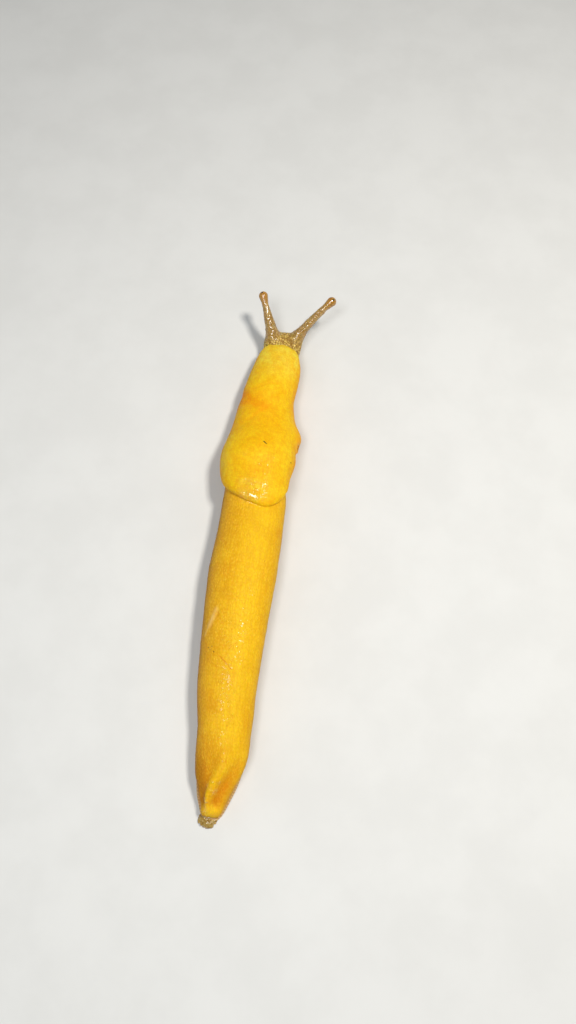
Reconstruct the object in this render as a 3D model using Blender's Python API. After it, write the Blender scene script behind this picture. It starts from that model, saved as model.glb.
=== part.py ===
"""A banana slug, life size, stretched out on its flat foot with both eye stalks raised.

Run it with blender --background --python part.py, or from Blender's text editor.
The head points to +Y, the animal's right side to +X and its back to +Z. The sole lies on Z = 0.
All sizes are written in millimetres, and MM turns them into Blender's metres.

The body is a loft: each station gives the left side, the right side and the top of the back, so
the gentle bends of the resting animal are in it. Every place on the skin is named by y along the
body and by girth, which is 0 on the middle of the back, -1 at the left edge of the foot and +1 at
its right edge. The mantle and the breathing pore are placed from y and girth.
"""

import math
from typing import NamedTuple

import bmesh
import bpy
import numpy as np
from mathutils import Matrix, Vector

MM = 0.001
GAP = 0.3                # between pieces that touch

# Lengths along the body
TAIL_END = -90.5
SNOUT = 99.8
TAIL_ROUNDING = 3.5      # over how far the tail's blunt end rounds off
SNOUT_ROUNDING = 6.0
BODY_CUTS = (-58.0, -22.0, 14.0, 50.0, 84.0)

# The section of the body
FOOT_HEIGHT = 2.0        # the body meets the foot in a groove this far up
WIDEST_SHARE = 0.44      # of the body's height, where it is widest
WIDEST_GIRTH = 0.72      # the girth at that height
SECTION_FULLNESS = 0.92  # below 1 the back is squarer than an ellipse
GROOVE_SHARE = 0.86      # of the half width, at the groove over the foot

# The foot
FOOT_REAR = -91.6
FOOT_FRONT = 91.5
FOOT_ROUNDING = 6.0
FOOT_FRINGE = 0.8        # how far its fringe stands out past the sole
FOOT_CUTS = (-58.0, -10.0, 38.0)

# The keel along the tail
KEEL_HEIGHT = 1.1
KEEL_MIDDLE = -77.0
KEEL_REACH = 12.0
KEEL_GIRTH = 0.13

# The mantle, a shield and a hood over the front of the back
MANTLE_REAR = 16.2       # the rearmost point of its free edge
MANTLE_APEX = 0.15       # the girth of that point, right of the middle
REAR_SWEEP_LEFT = 12.5   # how far forward the free edge lies at the widest girth
REAR_SWEEP_RIGHT = 15.5
MANTLE_FRONT = 90.0
FRONT_SWEEP_LEFT = 4.5    # how far back the hood's front edge lies at the widest girth
FRONT_SWEEP_RIGHT = 9.5
MANTLE_GIRTH = 0.80      # the girth of its lower edge
MANTLE_EDGE = 1.6        # over how far its edge rounds off
MANTLE_LIP = 0.55        # thickness at the very edge
MANTLE_SPLIT = 0.50      # between the shield and the hood, as a share of its length
GIRTH_LENGTH = 30.0      # from the middle of the back to the foot, over the skin
CREASE_Y = 59.0          # a crease runs obliquely over the left shoulder
CREASE_SLANT = 9.0
CREASE_WIDTH = 2.6
CREASE_DEPTH = 0.55

# The breathing pore, low on the mantle's right side
PORE_Y = 45.4
PORE_GIRTH = 0.66
PORE_RADIUS = 1.35       # to the middle of the raised lip
PORE_LIP = 0.5           # radius of the lip's own section
PORE_PROUD = -0.1        # how far the lip's middle stands over the mantle
PORE_LENGTHENED = 1.2    # how much longer than tall it is
SWELLING = 1.2           # the mantle swells just ahead of it
SWELLING_AHEAD = 5.4
SWELLING_REACH = (3.6, 0.17)
NOTCH = 0.6              # and dips just behind its middle
NOTCH_BEHIND = 1.8
NOTCH_REACH = (2.6, 0.2)

# The tentacles
STALK_SIDES = 4          # bevel resolution, for twelve sides
STALK_RINGS = 17
TIP_START = 0.93         # along a tentacle, where its rounded tip begins

# The eyes
EYE_RADIUS = 0.62
EYE_PROUD = 0.25         # how far an eye stands out of its bulb

# The mouth, two soft lobes under the snout
LOBE_RADII = (2.5, 2.3, 1.75)
LOBE_ROLL = 20.0         # degrees, by which each lobe droops at its outer end
LOBE_APART = 2.55        # half the distance between their middles
LOBE_CENTRE = (-0.8, 98.5, 2.4)

# The plug of mucus at the tail's end
PLUG_RADII = (3.0, 3.4, 1.9)
PLUG_CENTRE = (1.9, -91.2, 0.35)

# Fineness of the meshes
RING_STEP = 3.1
HALF_SIDES = 15          # points of a ring from the middle of the back to the foot
MANTLE_ROW_STEP = 3.2
MANTLE_COLUMNS = 19
BALL_SEGMENTS = 16
BALL_RINGS = 10


class Station(NamedTuple):
    """One section of the body without its mantle."""

    y: float
    left: float
    right: float
    top: float


class Padding(NamedTuple):
    """The mantle's thickness at one place along the body."""

    y: float
    top: float
    side: float


class Tentacle(NamedTuple):
    """A tentacle from its root in the head over a bend to its tip."""

    root: tuple
    bend: tuple
    tip: tuple
    radii: tuple         # at the places in RADIUS_PLACES


BODY = (
    Station(TAIL_END, -0.4, 4.4, 5.0),
    Station(-88.0, -1.4, 5.6, 6.8),
    Station(-84.0, -3.1, 7.9, 8.9),
    Station(-80.0, -4.1, 9.7, 10.4),
    Station(-76.0, -4.8, 11.2, 11.6),
    Station(-70.0, -5.7, 12.4, 13.0),
    Station(-62.0, -6.6, 12.3, 14.6),
    Station(-50.0, -8.9, 11.8, 16.2),
    Station(-37.0, -10.2, 11.8, 17.4),
    Station(-24.0, -11.4, 11.9, 18.1),
    Station(-6.0, -12.6, 12.4, 18.7),
    Station(5.0, -12.0, 12.3, 18.6),
    Station(13.0, -11.8, 12.0, 18.3),
    Station(19.5, -12.2, 11.7, 18.1),
    Station(26.0, -12.5, 10.9, 18.2),
    Station(31.0, -13.5, 9.9, 18.6),
    Station(38.0, -14.2, 10.3, 18.9),
    Station(44.0, -13.9, 10.4, 18.0),
    Station(50.0, -12.9, 10.0, 16.7),
    Station(57.0, -12.3, 8.2, 15.5),
    Station(65.5, -11.2, 6.6, 14.6),
    Station(74.0, -10.2, 6.8, 13.6),
    Station(81.0, -9.1, 7.2, 12.6),
    Station(86.0, -8.3, 6.9, 11.7),
    Station(90.0, -8.0, 6.7, 10.6),
    Station(94.0, -8.1, 6.4, 9.4),
    Station(SNOUT, -7.0, 5.6, 7.6),
)

MANTLE = (
    Padding(16.0, 1.5, 1.1),
    Padding(21.0, 2.0, 1.1),
    Padding(27.0, 2.6, 1.3),
    Padding(34.0, 2.9, 1.9),
    Padding(42.0, 2.7, 2.0),
    Padding(50.0, 2.0, 1.9),
    Padding(58.0, 1.7, 1.7),
    Padding(68.0, 1.9, 1.6),
    Padding(78.0, 1.6, 1.3),
    Padding(90.0, 1.2, 1.0),
)

# Half widths of the sole as a share of the body's, along the body
FOOT_SHARES = ((-91.0, 1.35), (-86.0, 1.05), (-74.0, 0.88), (-55.0, 0.82), (60.0, 0.82), (92.0, 0.88))

EYE_STALKS = {
    "left": Tentacle(
        (-3.6, 92.4, 4.6), (-6.7, 98.6, 13.1), (-11.2, 109.0, 18.8), (3.4, 2.85, 2.32, 1.87, 1.44, 1.2, 1.65)
    ),
    "right": Tentacle(
        (2.1, 93.0, 4.6), (9.1, 100.7, 12.9), (18.3, 110.0, 18.8), (3.5, 2.7, 2.05, 1.8, 1.6, 1.36, 1.78)
    ),
}
FEELERS = {
    "left": Tentacle(
        (-4.3, 94.8, 4.8), (-5.1, 98.9, 4.3), (-5.9, 102.6, 3.1), (1.5, 1.3, 1.15, 0.95, 0.8, 0.75, 0.95)
    ),
    "right": Tentacle(
        (2.8, 94.8, 4.8), (3.8, 98.9, 4.3), (4.8, 102.5, 3.1), (1.5, 1.3, 1.15, 0.95, 0.8, 0.75, 0.95)
    ),
}
RADIUS_PLACES = (0.0, 0.22, 0.36, 0.51, 0.67, 0.82, TIP_START)
EYE_LEANS = {"left": (-0.26, 0.42, 0.87), "right": (0.44, 0.05, 0.9)}

FINISHES = {
    "golden_skin": ((0.80, 0.45, 0.045), 0.36),
    "mantle_skin": ((0.84, 0.49, 0.040), 0.30),
    "olive_skin": ((0.36, 0.25, 0.070), 0.28),
    "foot_skin": ((0.72, 0.53, 0.22), 0.34),
    "eye_black": ((0.012, 0.010, 0.009), 0.12),
    "mucus": ((0.42, 0.32, 0.10), 0.08),
}


def clear_scene():
    """Removes what the scene holds, and makes the collections for the slug and its cutters."""
    for thing in list(bpy.data.objects):
        bpy.data.objects.remove(thing)
    collections = {}
    for name in ("banana_slug", "cutters"):
        collections[name] = bpy.data.collections.new(name)
        bpy.context.scene.collection.children.link(collections[name])
    return collections["banana_slug"], collections["cutters"]


def finish(name):
    """The Principled material of that name, with its colour and wetness."""
    found = bpy.data.materials.get(name)
    if found:
        return found
    colour, roughness = FINISHES[name]
    material = bpy.data.materials.new(name)
    material.use_nodes = True
    shader = material.node_tree.nodes["Principled BSDF"]
    shader.inputs["Base Color"].default_value = (*colour, 1.0)
    shader.inputs["Roughness"].default_value = roughness
    shader.inputs["Metallic"].default_value = 0.0
    material.diffuse_color = (*colour, 1.0)
    return material


def through(places, values, at):
    """A smooth curve through the values at those places, read at each place in at."""
    places, values, at = (np.asarray(x, float) for x in (places, values, at))
    slopes = np.gradient(values, places)
    i = np.clip(np.searchsorted(places, at, side="right") - 1, 0, len(places) - 2)
    step = places[i + 1] - places[i]
    t = np.clip((at - places[i]) / step, 0.0, 1.0)
    rise = values[i + 1] - values[i]
    bend_in = slopes[i] * step - rise
    bend_out = rise - slopes[i + 1] * step
    return values[i] + rise * t + t * (1 - t) * ((1 - t) * bend_in + t * bend_out)


def rounding(distance, radius):
    """From 0 at a blunt end to 1 once the distance from it reaches the radius."""
    share = np.clip(np.asarray(distance, float) / radius, 0.0, 1.0)
    return np.sqrt(np.clip(1.0 - (1.0 - share) ** 2, 0.0, 1.0))


def station_value(name, y):
    """One size of the body at y."""
    return through([row.y for row in BODY], [getattr(row, name) for row in BODY], y)


def foot_half_width(y):
    """Half the foot's width at y, before its own ends round off."""
    places, shares = zip(*FOOT_SHARES)
    body_half = (station_value("right", y) - station_value("left", y)) / 2
    return body_half * through(places, shares, y)


def skin_point(y, girth):
    """A point on the body's skin, from y along the body and girth round it. Both may be arrays."""
    y, girth = np.broadcast_arrays(np.asarray(y, float), np.asarray(girth, float))
    left, right, top = (station_value(name, y) for name in ("left", "right", "top"))
    end = rounding(y - TAIL_END, TAIL_ROUNDING) * rounding(SNOUT - y, SNOUT_ROUNDING)
    low = FOOT_HEIGHT + GAP
    waist = low + (top - low) * WIDEST_SHARE
    top = waist + (top - waist) * end
    half = (right - left) / 2 * end
    groove = np.minimum(foot_half_width(y) - 0.5, half * GROOVE_SHARE)
    share = np.abs(girth)
    over = np.pi / 2 * (1 - np.clip(share / WIDEST_GIRTH, 0, 1))
    under = np.pi / 2 * np.clip((share - WIDEST_GIRTH) / (1 - WIDEST_GIRTH), 0, 1)
    across = np.where(share <= WIDEST_GIRTH, half * np.cos(over), groove + (half - groove) * np.cos(under))
    up = waist + (top - waist) * np.sin(over) ** SECTION_FULLNESS - (waist - low) * np.sin(under)
    keel = np.exp(-(((y - KEEL_MIDDLE) / KEEL_REACH) ** 2) - (girth / KEEL_GIRTH) ** 2)
    return np.stack([(left + right) / 2 + np.sign(girth) * across, y, up + KEEL_HEIGHT * end * keel], axis=-1)


def skin_normal(y, girth):
    """The outward direction of the skin there."""
    y, girth = np.broadcast_arrays(np.asarray(y, float), np.asarray(girth, float))
    small = 0.01
    along = skin_point(y + small, girth) - skin_point(y - small, girth)
    across = skin_point(y, girth + small) - skin_point(y, girth - small)
    normal = np.cross(across, along)
    return normal / np.linalg.norm(normal, axis=-1, keepdims=True)


def mantle_thickness(y, girth):
    """How thick the mantle is, before its edge thins."""
    places = [row.y for row in MANTLE]
    top = through(places, [row.top for row in MANTLE], y)
    side = through(places, [row.side for row in MANTLE], y)
    share = np.clip(np.abs(girth) / WIDEST_GIRTH, 0, 1) ** 2
    ahead = (y - PORE_Y - SWELLING_AHEAD) / SWELLING_REACH[0]
    beside = (girth - PORE_GIRTH) / SWELLING_REACH[1]
    crease_line = CREASE_Y - CREASE_SLANT * girth
    crease = np.exp(-(((y - crease_line) / CREASE_WIDTH) ** 2) - ((girth + 0.42) / 0.34) ** 2)
    behind = (y - PORE_Y + NOTCH_BEHIND) / NOTCH_REACH[0]
    below = (girth - PORE_GIRTH) / NOTCH_REACH[1]
    swelling = SWELLING * np.exp(-(ahead**2) - beside**2)
    notch = NOTCH * np.exp(-(behind**2) - below**2)
    return top + (side - top) * share + swelling - notch - CREASE_DEPTH * crease


def mantle_ends(girth):
    """Where the mantle's rear and front edges lie along the body, at that girth."""
    from_apex = girth - MANTLE_APEX
    left = REAR_SWEEP_LEFT * (np.clip(-from_apex, 0, None) / (WIDEST_GIRTH + MANTLE_APEX)) ** 1.5
    right = REAR_SWEEP_RIGHT * (np.clip(from_apex, 0, None) / (WIDEST_GIRTH - MANTLE_APEX)) ** 1.9
    front_sweep = np.where(girth < 0, FRONT_SWEEP_LEFT, FRONT_SWEEP_RIGHT)
    front = MANTLE_FRONT - front_sweep * (np.abs(girth) / WIDEST_GIRTH) ** 3
    return MANTLE_REAR + left + right, front


def new_object(name, form, material, collection):
    """Closes a bmesh into a new object with that material, shaded smooth over its soft edges."""
    bmesh.ops.recalc_face_normals(form, faces=form.faces)
    mesh = bpy.data.meshes.new(name)
    form.to_mesh(mesh)
    form.free()
    mesh.materials.append(finish(material))
    mesh.shade_smooth()
    mesh.set_sharp_from_angle(angle=math.radians(40))
    thing = bpy.data.objects.new(name, mesh)
    collection.objects.link(thing)
    return thing


def loft(rings):
    """A closed bmesh through a row of rings with the same number of points."""
    form = bmesh.new()
    rows = [[form.verts.new(Vector(point) * MM) for point in ring] for ring in rings]
    for near, far in zip(rows, rows[1:]):
        for i, corner in enumerate(near):
            j = (i + 1) % len(near)
            form.faces.new((corner, near[j], far[j], far[i]))
    caps = [form.faces.new(rows[0][::-1]), form.faces.new(rows[-1])]
    bmesh.ops.triangulate(form, faces=caps)
    return form


def shell(outer, inner):
    """A closed bmesh between two grids of points, joined by a strip round their borders."""
    form = bmesh.new()
    rows, columns = outer.shape[:2]
    sheets = [[[form.verts.new(Vector(p) * MM) for p in row] for row in grid] for grid in (outer, inner)]
    for sheet in sheets:
        for i in range(rows - 1):
            for j in range(columns - 1):
                form.faces.new((sheet[i][j], sheet[i][j + 1], sheet[i + 1][j + 1], sheet[i + 1][j]))
    border = [(0, j) for j in range(columns)]
    border += [(i, columns - 1) for i in range(1, rows)]
    border += [(rows - 1, j) for j in range(columns - 2, -1, -1)]
    border += [(i, 0) for i in range(rows - 2, 0, -1)]
    for (i, j), (k, m) in zip(border, border[1:] + border[:1]):
        form.faces.new((sheets[0][i][j], sheets[0][k][m], sheets[1][k][m], sheets[1][i][j]))
    return form


def places_between(start, stop, step, round_start=0.0, round_stop=0.0):
    """Places of the rings between two ends, closer together where an end rounds off."""
    quarter = np.linspace(0.12, np.pi / 2, 6)
    near_start = start + round_start * (1 - np.cos(quarter)) if round_start else np.array([start])
    near_stop = stop - round_stop * (1 - np.cos(quarter)) if round_stop else np.array([stop])
    low, high = near_start.max(), near_stop.min()
    count = max(1, round((high - low) / step))
    between = np.linspace(low, high, count + 1)[1:-1]
    return np.concatenate([near_start, between, near_stop[::-1]])


def parted(low, high, cuts):
    """The lengths between the cuts, each with half a gap taken from a cut end."""
    edges = (low, *cuts, high)
    lengths = []
    for start, stop in zip(edges, edges[1:]):
        lengths.append((start + (GAP / 2 if start != low else 0), stop - (GAP / 2 if stop != high else 0)))
    return lengths


def build_body(collection):
    """The body's lengths from the tail to the head."""
    names = ("tail", "trunk_rear", "trunk_mid", "trunk_front", "neck", "head")
    half = 1 - (1 - np.linspace(0, 1, HALF_SIDES)) ** 1.12
    girths = np.concatenate([-half[:0:-1], half])
    pieces = {}
    for name, (start, stop) in zip(names, parted(TAIL_END, SNOUT, BODY_CUTS)):
        tail_round = TAIL_ROUNDING if start == TAIL_END else 0.0
        snout_round = SNOUT_ROUNDING if stop == SNOUT else 0.0
        places = places_between(start, stop, RING_STEP, tail_round, snout_round)
        rings = [skin_point(y, girths) for y in places]
        material = "olive_skin" if name == "head" else "golden_skin"
        pieces[name] = new_object(name, loft(rings), material, collection)
    return pieces


def foot_ring(y, end):
    """The foot's section at y: a flat sole, a fringe that stands out, and a flat top."""
    half = foot_half_width(y) * end
    middle = (station_value("left", y) + station_value("right", y)) / 2
    sole = max(half - FOOT_FRINGE, half * 0.6)
    top = max(half - FOOT_FRINGE / 2, half * 0.7)
    side = ((sole, 0.0), (half * 0.5 + sole * 0.5, 0.25), (half, 1.0), (half - 0.1, 1.5), (top, FOOT_HEIGHT))
    right = [(middle + across, y, up) for across, up in side]
    left = [(middle - across, y, up) for across, up in side[::-1]]
    return right + left


def build_foot(collection):
    """The foot's lengths, with the sole on the ground."""
    names = ("foot_tail", "foot_rear", "foot_mid", "foot_front")
    pieces = {}
    for name, (start, stop) in zip(names, parted(FOOT_REAR, FOOT_FRONT, FOOT_CUTS)):
        rear_round = FOOT_ROUNDING if start == FOOT_REAR else 0.0
        front_round = FOOT_ROUNDING if stop == FOOT_FRONT else 0.0
        places = places_between(start, stop, 2 * RING_STEP, rear_round, front_round)
        ends = rounding(places - FOOT_REAR, FOOT_ROUNDING) * rounding(FOOT_FRONT - places, FOOT_ROUNDING)
        rings = [foot_ring(y, end) for y, end in zip(places, ends)]
        pieces[name] = new_object(name, loft(rings), "foot_skin", collection)
    return pieces


def build_mantle(collection):
    """The mantle's shield over the back and its hood over the neck."""
    edge_steps = np.array([0.0, 0.2, 0.55, 1.05]) / GIRTH_LENGTH
    middle = np.linspace(-MANTLE_GIRTH, MANTLE_GIRTH, MANTLE_COLUMNS)[1:-1]
    columns = np.concatenate([-MANTLE_GIRTH + edge_steps, middle, MANTLE_GIRTH - edge_steps[::-1]])
    length = MANTLE_FRONT - MANTLE_REAR
    edge_rows = np.array([0.0, 0.2, 0.55, 1.05, 1.7])
    seam = GAP / 2 / length
    spans = {
        "mantle_shield": (0.0, MANTLE_SPLIT - seam, True),
        "mantle_hood": (MANTLE_SPLIT + seam, 1.0, False),
    }
    rear, front = mantle_ends(columns)
    pieces = {}
    for name, (start, stop, rear_edge) in spans.items():
        count = round((stop - start) * length / MANTLE_ROW_STEP)
        plain = np.linspace(start, stop, count + 1)
        if rear_edge:
            shares = np.concatenate([edge_rows / length, plain[1:]])
        else:
            shares = np.concatenate([plain[:-1], 1 - edge_rows[::-1] / length])
        y = rear + (front - rear) * shares[:, None]
        girth = np.broadcast_to(columns, y.shape)
        from_edge = np.minimum.reduce([
            (y - rear),
            (front - y),
            (MANTLE_GIRTH - np.abs(girth)) * GIRTH_LENGTH,
        ])
        full = mantle_thickness(y, girth)
        thickness = MANTLE_LIP + (full - MANTLE_LIP) * rounding(from_edge, MANTLE_EDGE)
        skin, normal = skin_point(y, girth), skin_normal(y, girth)
        outer = skin + normal * (GAP + thickness)[..., None]
        inner = skin + normal * GAP
        pieces[name] = new_object(name, shell(outer, inner), "mantle_skin", collection)
    return pieces


def apply_modifier(thing, modifier):
    """Applies a modifier, so that its cutter can go."""
    with bpy.context.temp_override(object=thing, active_object=thing, selected_objects=[thing]):
        bpy.ops.object.modifier_apply(modifier=modifier.name)


def cut(thing, cutter):
    """Takes the cutter's space out of the object, and shades it again."""
    modifier = thing.modifiers.new("cut", "BOOLEAN")
    modifier.operation = "DIFFERENCE"
    modifier.object = cutter
    apply_modifier(thing, modifier)
    keep_largest(thing)
    thing.data.shade_smooth()
    thing.data.set_sharp_from_angle(angle=math.radians(40))


def keep_largest(thing):
    """Keeps only the largest of the object's closed surfaces."""
    form = bmesh.new()
    form.from_mesh(thing.data)
    islands, seen = [], set()
    for start in form.faces:
        if start in seen:
            continue
        island, front = [], [start]
        seen.add(start)
        while front:
            face = front.pop()
            island.append(face)
            for edge in face.edges:
                for other in edge.link_faces:
                    if other not in seen:
                        seen.add(other)
                        front.append(other)
        islands.append(island)
    islands.sort(key=lambda faces: sum(face.calc_area() for face in faces))
    for island in islands[:-1]:
        bmesh.ops.delete(form, geom=island, context="FACES")
    loose = [vert for vert in form.verts if not vert.link_faces]
    bmesh.ops.delete(form, geom=loose, context="VERTS")
    form.to_mesh(thing.data)
    form.free()


def room_for(thing, cutters):
    """A cutter with the object's shape, larger all round by the gap."""
    room = bpy.data.objects.new(thing.name + "_room", thing.data.copy())
    cutters.objects.link(room)
    room.display_type = "WIRE"
    room.hide_render = True
    swell = room.modifiers.new("swell", "DISPLACE")
    swell.mid_level = 0.0
    swell.strength = GAP * MM
    apply_modifier(room, swell)
    return room


def add_ball(name, centre, radii, material, collection, roll=0.0):
    """An ellipsoid from Blender's sphere, with its scale and its roll about Y applied."""
    form = bmesh.new()
    bmesh.ops.create_uvsphere(form, u_segments=BALL_SEGMENTS, v_segments=BALL_RINGS, radius=MM)
    turn = Matrix.Rotation(math.radians(roll), 4, "Y") @ Matrix.Diagonal((*radii, 1.0))
    bmesh.ops.transform(form, matrix=turn, verts=form.verts)
    bmesh.ops.translate(form, vec=Vector(centre) * MM, verts=form.verts)
    return new_object(name, form, material, collection)


def tentacle_axis(tentacle, share):
    """A point on the tentacle's axis, a curve from its root over its bend to its tip."""
    root, bend, tip = (np.array(point) for point in tentacle[:3])
    control = 2 * bend - (root + tip) / 2
    share = np.asarray(share, float)[..., None]
    return (1 - share) ** 2 * root + 2 * share * (1 - share) * control + share**2 * tip


def tentacle_radius(tentacle, share):
    """The tentacle's radius there, with a bulb near its end and a round tip."""
    plain = through(RADIUS_PLACES, tentacle.radii, share)
    return plain * np.sqrt(1 - np.clip((share - TIP_START) / (1 - TIP_START), 0, 1) ** 2 * 0.93)


def add_tentacle(name, tentacle, collection):
    """A tapering tube with a bulb at its end, from a curve with a bevel."""
    tip_places = TIP_START + (1 - TIP_START) * np.sin(np.linspace(0, np.pi / 2, 6))
    shares = np.concatenate([np.linspace(0, TIP_START, STALK_RINGS)[:-1], tip_places])
    line = bpy.data.curves.new(name, "CURVE")
    line.dimensions = "3D"
    line.bevel_depth = MM
    line.bevel_resolution = STALK_SIDES
    line.use_fill_caps = True
    spline = line.splines.new("POLY")
    spline.points.add(len(shares) - 1)
    for point, share in zip(spline.points, shares):
        point.co = (*(tentacle_axis(tentacle, share) * MM), 1.0)
        point.radius = float(tentacle_radius(tentacle, share))
    guide = bpy.data.objects.new(name + "_line", line)
    collection.objects.link(guide)
    evaluated = guide.evaluated_get(bpy.context.evaluated_depsgraph_get())
    mesh = bpy.data.meshes.new_from_object(evaluated)
    form = bmesh.new()
    form.from_mesh(mesh)
    bmesh.ops.remove_doubles(form, verts=form.verts, dist=0.001 * MM)
    bpy.data.objects.remove(guide)
    bpy.data.meshes.remove(mesh)
    return new_object(name, form, "olive_skin", collection)


def add_pore(shield, collection, cutters):
    """The raised lip of the breathing pore, in a pocket cut into the mantle's shield."""
    y, girth = np.array(PORE_Y), np.array(PORE_GIRTH)
    normal = Vector(skin_normal(y, girth))
    lift = GAP + float(mantle_thickness(y, girth)) + PORE_PROUD
    centre = (Vector(skin_point(y, girth)) + normal * lift) * MM
    across = Vector((0.0, 1.0, 0.0)).cross(normal).normalized()
    along = normal.cross(across)
    place = Matrix.Translation(centre) @ Matrix((across, along, normal)).transposed().to_4x4()
    place = place @ Matrix.Diagonal((1.0, PORE_LENGTHENED, 1.0, 1.0))
    bpy.ops.mesh.primitive_torus_add(
        major_radius=PORE_RADIUS * MM, minor_radius=PORE_LIP * MM, major_segments=20, minor_segments=8
    )
    ring = bpy.context.object
    form = bmesh.new()
    form.from_mesh(ring.data)
    bpy.data.objects.remove(ring)
    bmesh.ops.transform(form, matrix=place, verts=form.verts)
    lip = new_object("pore_lip", form, "mantle_skin", collection)
    pocket_form = bmesh.new()
    radius = (PORE_RADIUS + PORE_LIP + GAP) * MM
    depth = (PORE_LIP + GAP) * MM
    bmesh.ops.create_cone(
        pocket_form, cap_ends=True, segments=20, radius1=radius * 0.9, radius2=radius * 1.1, depth=2 * depth
    )
    bmesh.ops.transform(pocket_form, matrix=place, verts=pocket_form.verts)
    pocket = new_object("pore_pocket", pocket_form, "mantle_skin", cutters)
    cut(shield, pocket)
    return lip


def add_eye(side, stalk, collection, cutters):
    """A small round eye, set in the upper outer side of its stalk's bulb."""
    tentacle = EYE_STALKS[side]
    lean = Vector(EYE_LEANS[side]).normalized()
    bulb = Vector(tentacle_axis(tentacle, TIP_START))
    centre = bulb + lean * (tentacle.radii[-1] - EYE_RADIUS + EYE_PROUD)
    eye = add_ball(f"eye_{side}", centre, (EYE_RADIUS,) * 3, "eye_black", collection)
    socket = add_ball(f"eye_{side}_socket", centre, (EYE_RADIUS + GAP,) * 3, "olive_skin", cutters)
    cut(stalk, socket)
    return eye


def add_tail_mucus(tail, foot_tail, collection, cutters):
    """The plug of mucus behind the tail, flat on the ground."""
    plug = add_ball("tail_mucus", PLUG_CENTRE, PLUG_RADII, "mucus", collection)
    form = bmesh.new()
    form.from_mesh(plug.data)
    everything = form.verts[:] + form.edges[:] + form.faces[:]
    below = bmesh.ops.bisect_plane(form, geom=everything, plane_co=(0, 0, 0), plane_no=(0, 0, 1), clear_inner=True)
    rim = [edge for edge in below["geom_cut"] if isinstance(edge, bmesh.types.BMEdge)]
    bmesh.ops.edgeloop_fill(form, edges=rim)
    bmesh.ops.triangulate(form, faces=[face for face in form.faces if len(face.verts) > 4])
    form.to_mesh(plug.data)
    form.free()
    for neighbour in (tail, foot_tail):
        cut(plug, room_for(neighbour, cutters))


def build_head_parts(body, collection, cutters):
    """The mouth's lobes, both pairs of tentacles and the eyes."""
    head_room = room_for(body["head"], cutters)
    lobes = {}
    for side, sign in (("left", -1), ("right", 1)):
        centre = (LOBE_CENTRE[0] + sign * LOBE_APART, *LOBE_CENTRE[1:])
        lobe = (f"mouth_lobe_{side}", centre, LOBE_RADII, "olive_skin", collection)
        lobes[side] = add_ball(*lobe, roll=sign * LOBE_ROLL)
        cut(lobes[side], head_room)
    for side in ("left", "right"):
        stalk = add_tentacle(f"eye_stalk_{side}", EYE_STALKS[side], collection)
        cut(stalk, head_room)
        add_eye(side, stalk, collection, cutters)
        feeler = add_tentacle(f"feeler_{side}", FEELERS[side], collection)
        cut(feeler, head_room)
        cut(feeler, room_for(lobes[side], cutters))


def main():
    """Builds the whole animal."""
    collection, cutters = clear_scene()
    body = build_body(collection)
    foot = build_foot(collection)
    mantle = build_mantle(collection)
    add_pore(mantle["mantle_shield"], collection, cutters)
    build_head_parts(body, collection, cutters)
    add_tail_mucus(body["tail"], foot["foot_tail"], collection, cutters)
    for cutter in cutters.objects:
        cutter.display_type = "WIRE"
        cutter.hide_render = True


main()
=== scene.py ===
"""A banana slug, life size, stretched out on its foot with both eye stalks raised.

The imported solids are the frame. One skin covers all the flesh. It is worked out as a field of
distances, so that the stalks, lips, mantle and foot run into each other without a seam, and then
carved with the fine relief of the real animal. The eyes and the slime at the tail are their own
pieces. Sizes are in millimetres, and MM turns them into Blender's metres.
"""

import logging
import math
from dataclasses import dataclass, field
from enum import Enum
from typing import Callable, NamedTuple

import bpy
import numpy as np
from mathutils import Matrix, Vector


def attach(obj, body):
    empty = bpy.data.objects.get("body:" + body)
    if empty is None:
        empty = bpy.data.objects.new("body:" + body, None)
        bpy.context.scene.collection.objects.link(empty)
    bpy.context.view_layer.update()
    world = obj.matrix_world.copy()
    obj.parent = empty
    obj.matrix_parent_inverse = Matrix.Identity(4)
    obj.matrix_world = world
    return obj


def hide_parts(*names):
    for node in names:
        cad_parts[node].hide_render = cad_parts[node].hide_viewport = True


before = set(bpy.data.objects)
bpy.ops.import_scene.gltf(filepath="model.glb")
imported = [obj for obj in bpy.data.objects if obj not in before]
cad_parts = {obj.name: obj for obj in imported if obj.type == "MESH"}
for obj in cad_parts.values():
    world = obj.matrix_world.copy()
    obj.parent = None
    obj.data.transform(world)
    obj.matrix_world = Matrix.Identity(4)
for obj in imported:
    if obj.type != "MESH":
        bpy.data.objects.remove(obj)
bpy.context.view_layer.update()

LOG = logging.getLogger("banana_slug")
MM = 0.001
FAR = 99.0                   # further than any place here is from what it is measured from
TINY = 1e-6                  # keeps a division in bounds
Array = np.ndarray
Form = Callable[[Array, Array, Array], Array]
Masks = dict[str, Array]
Pair = tuple[float, float]
Triple = tuple[float, float, float]
Span = tuple[float, float]   # where something starts, and where it is full
Bell = tuple[float, float]   # a bell curve's centre and width
Table = tuple[tuple[float, ...], ...]

# For scatter, which mixes a cell's whole numbers until they look random
WORD = 0xFFFFFFFF
SEED_FACTOR, SEED_START = 974634777, 12345
CELL_FACTORS = (374761393, 668265263, 1442695041)
SCRAMBLES = ((13, 1274126177), (15, 2246822519))


class Side(Enum):
    """The animal's two sides."""

    LEFT = "left"
    RIGHT = "right"


# Curves, unions and noise


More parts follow.
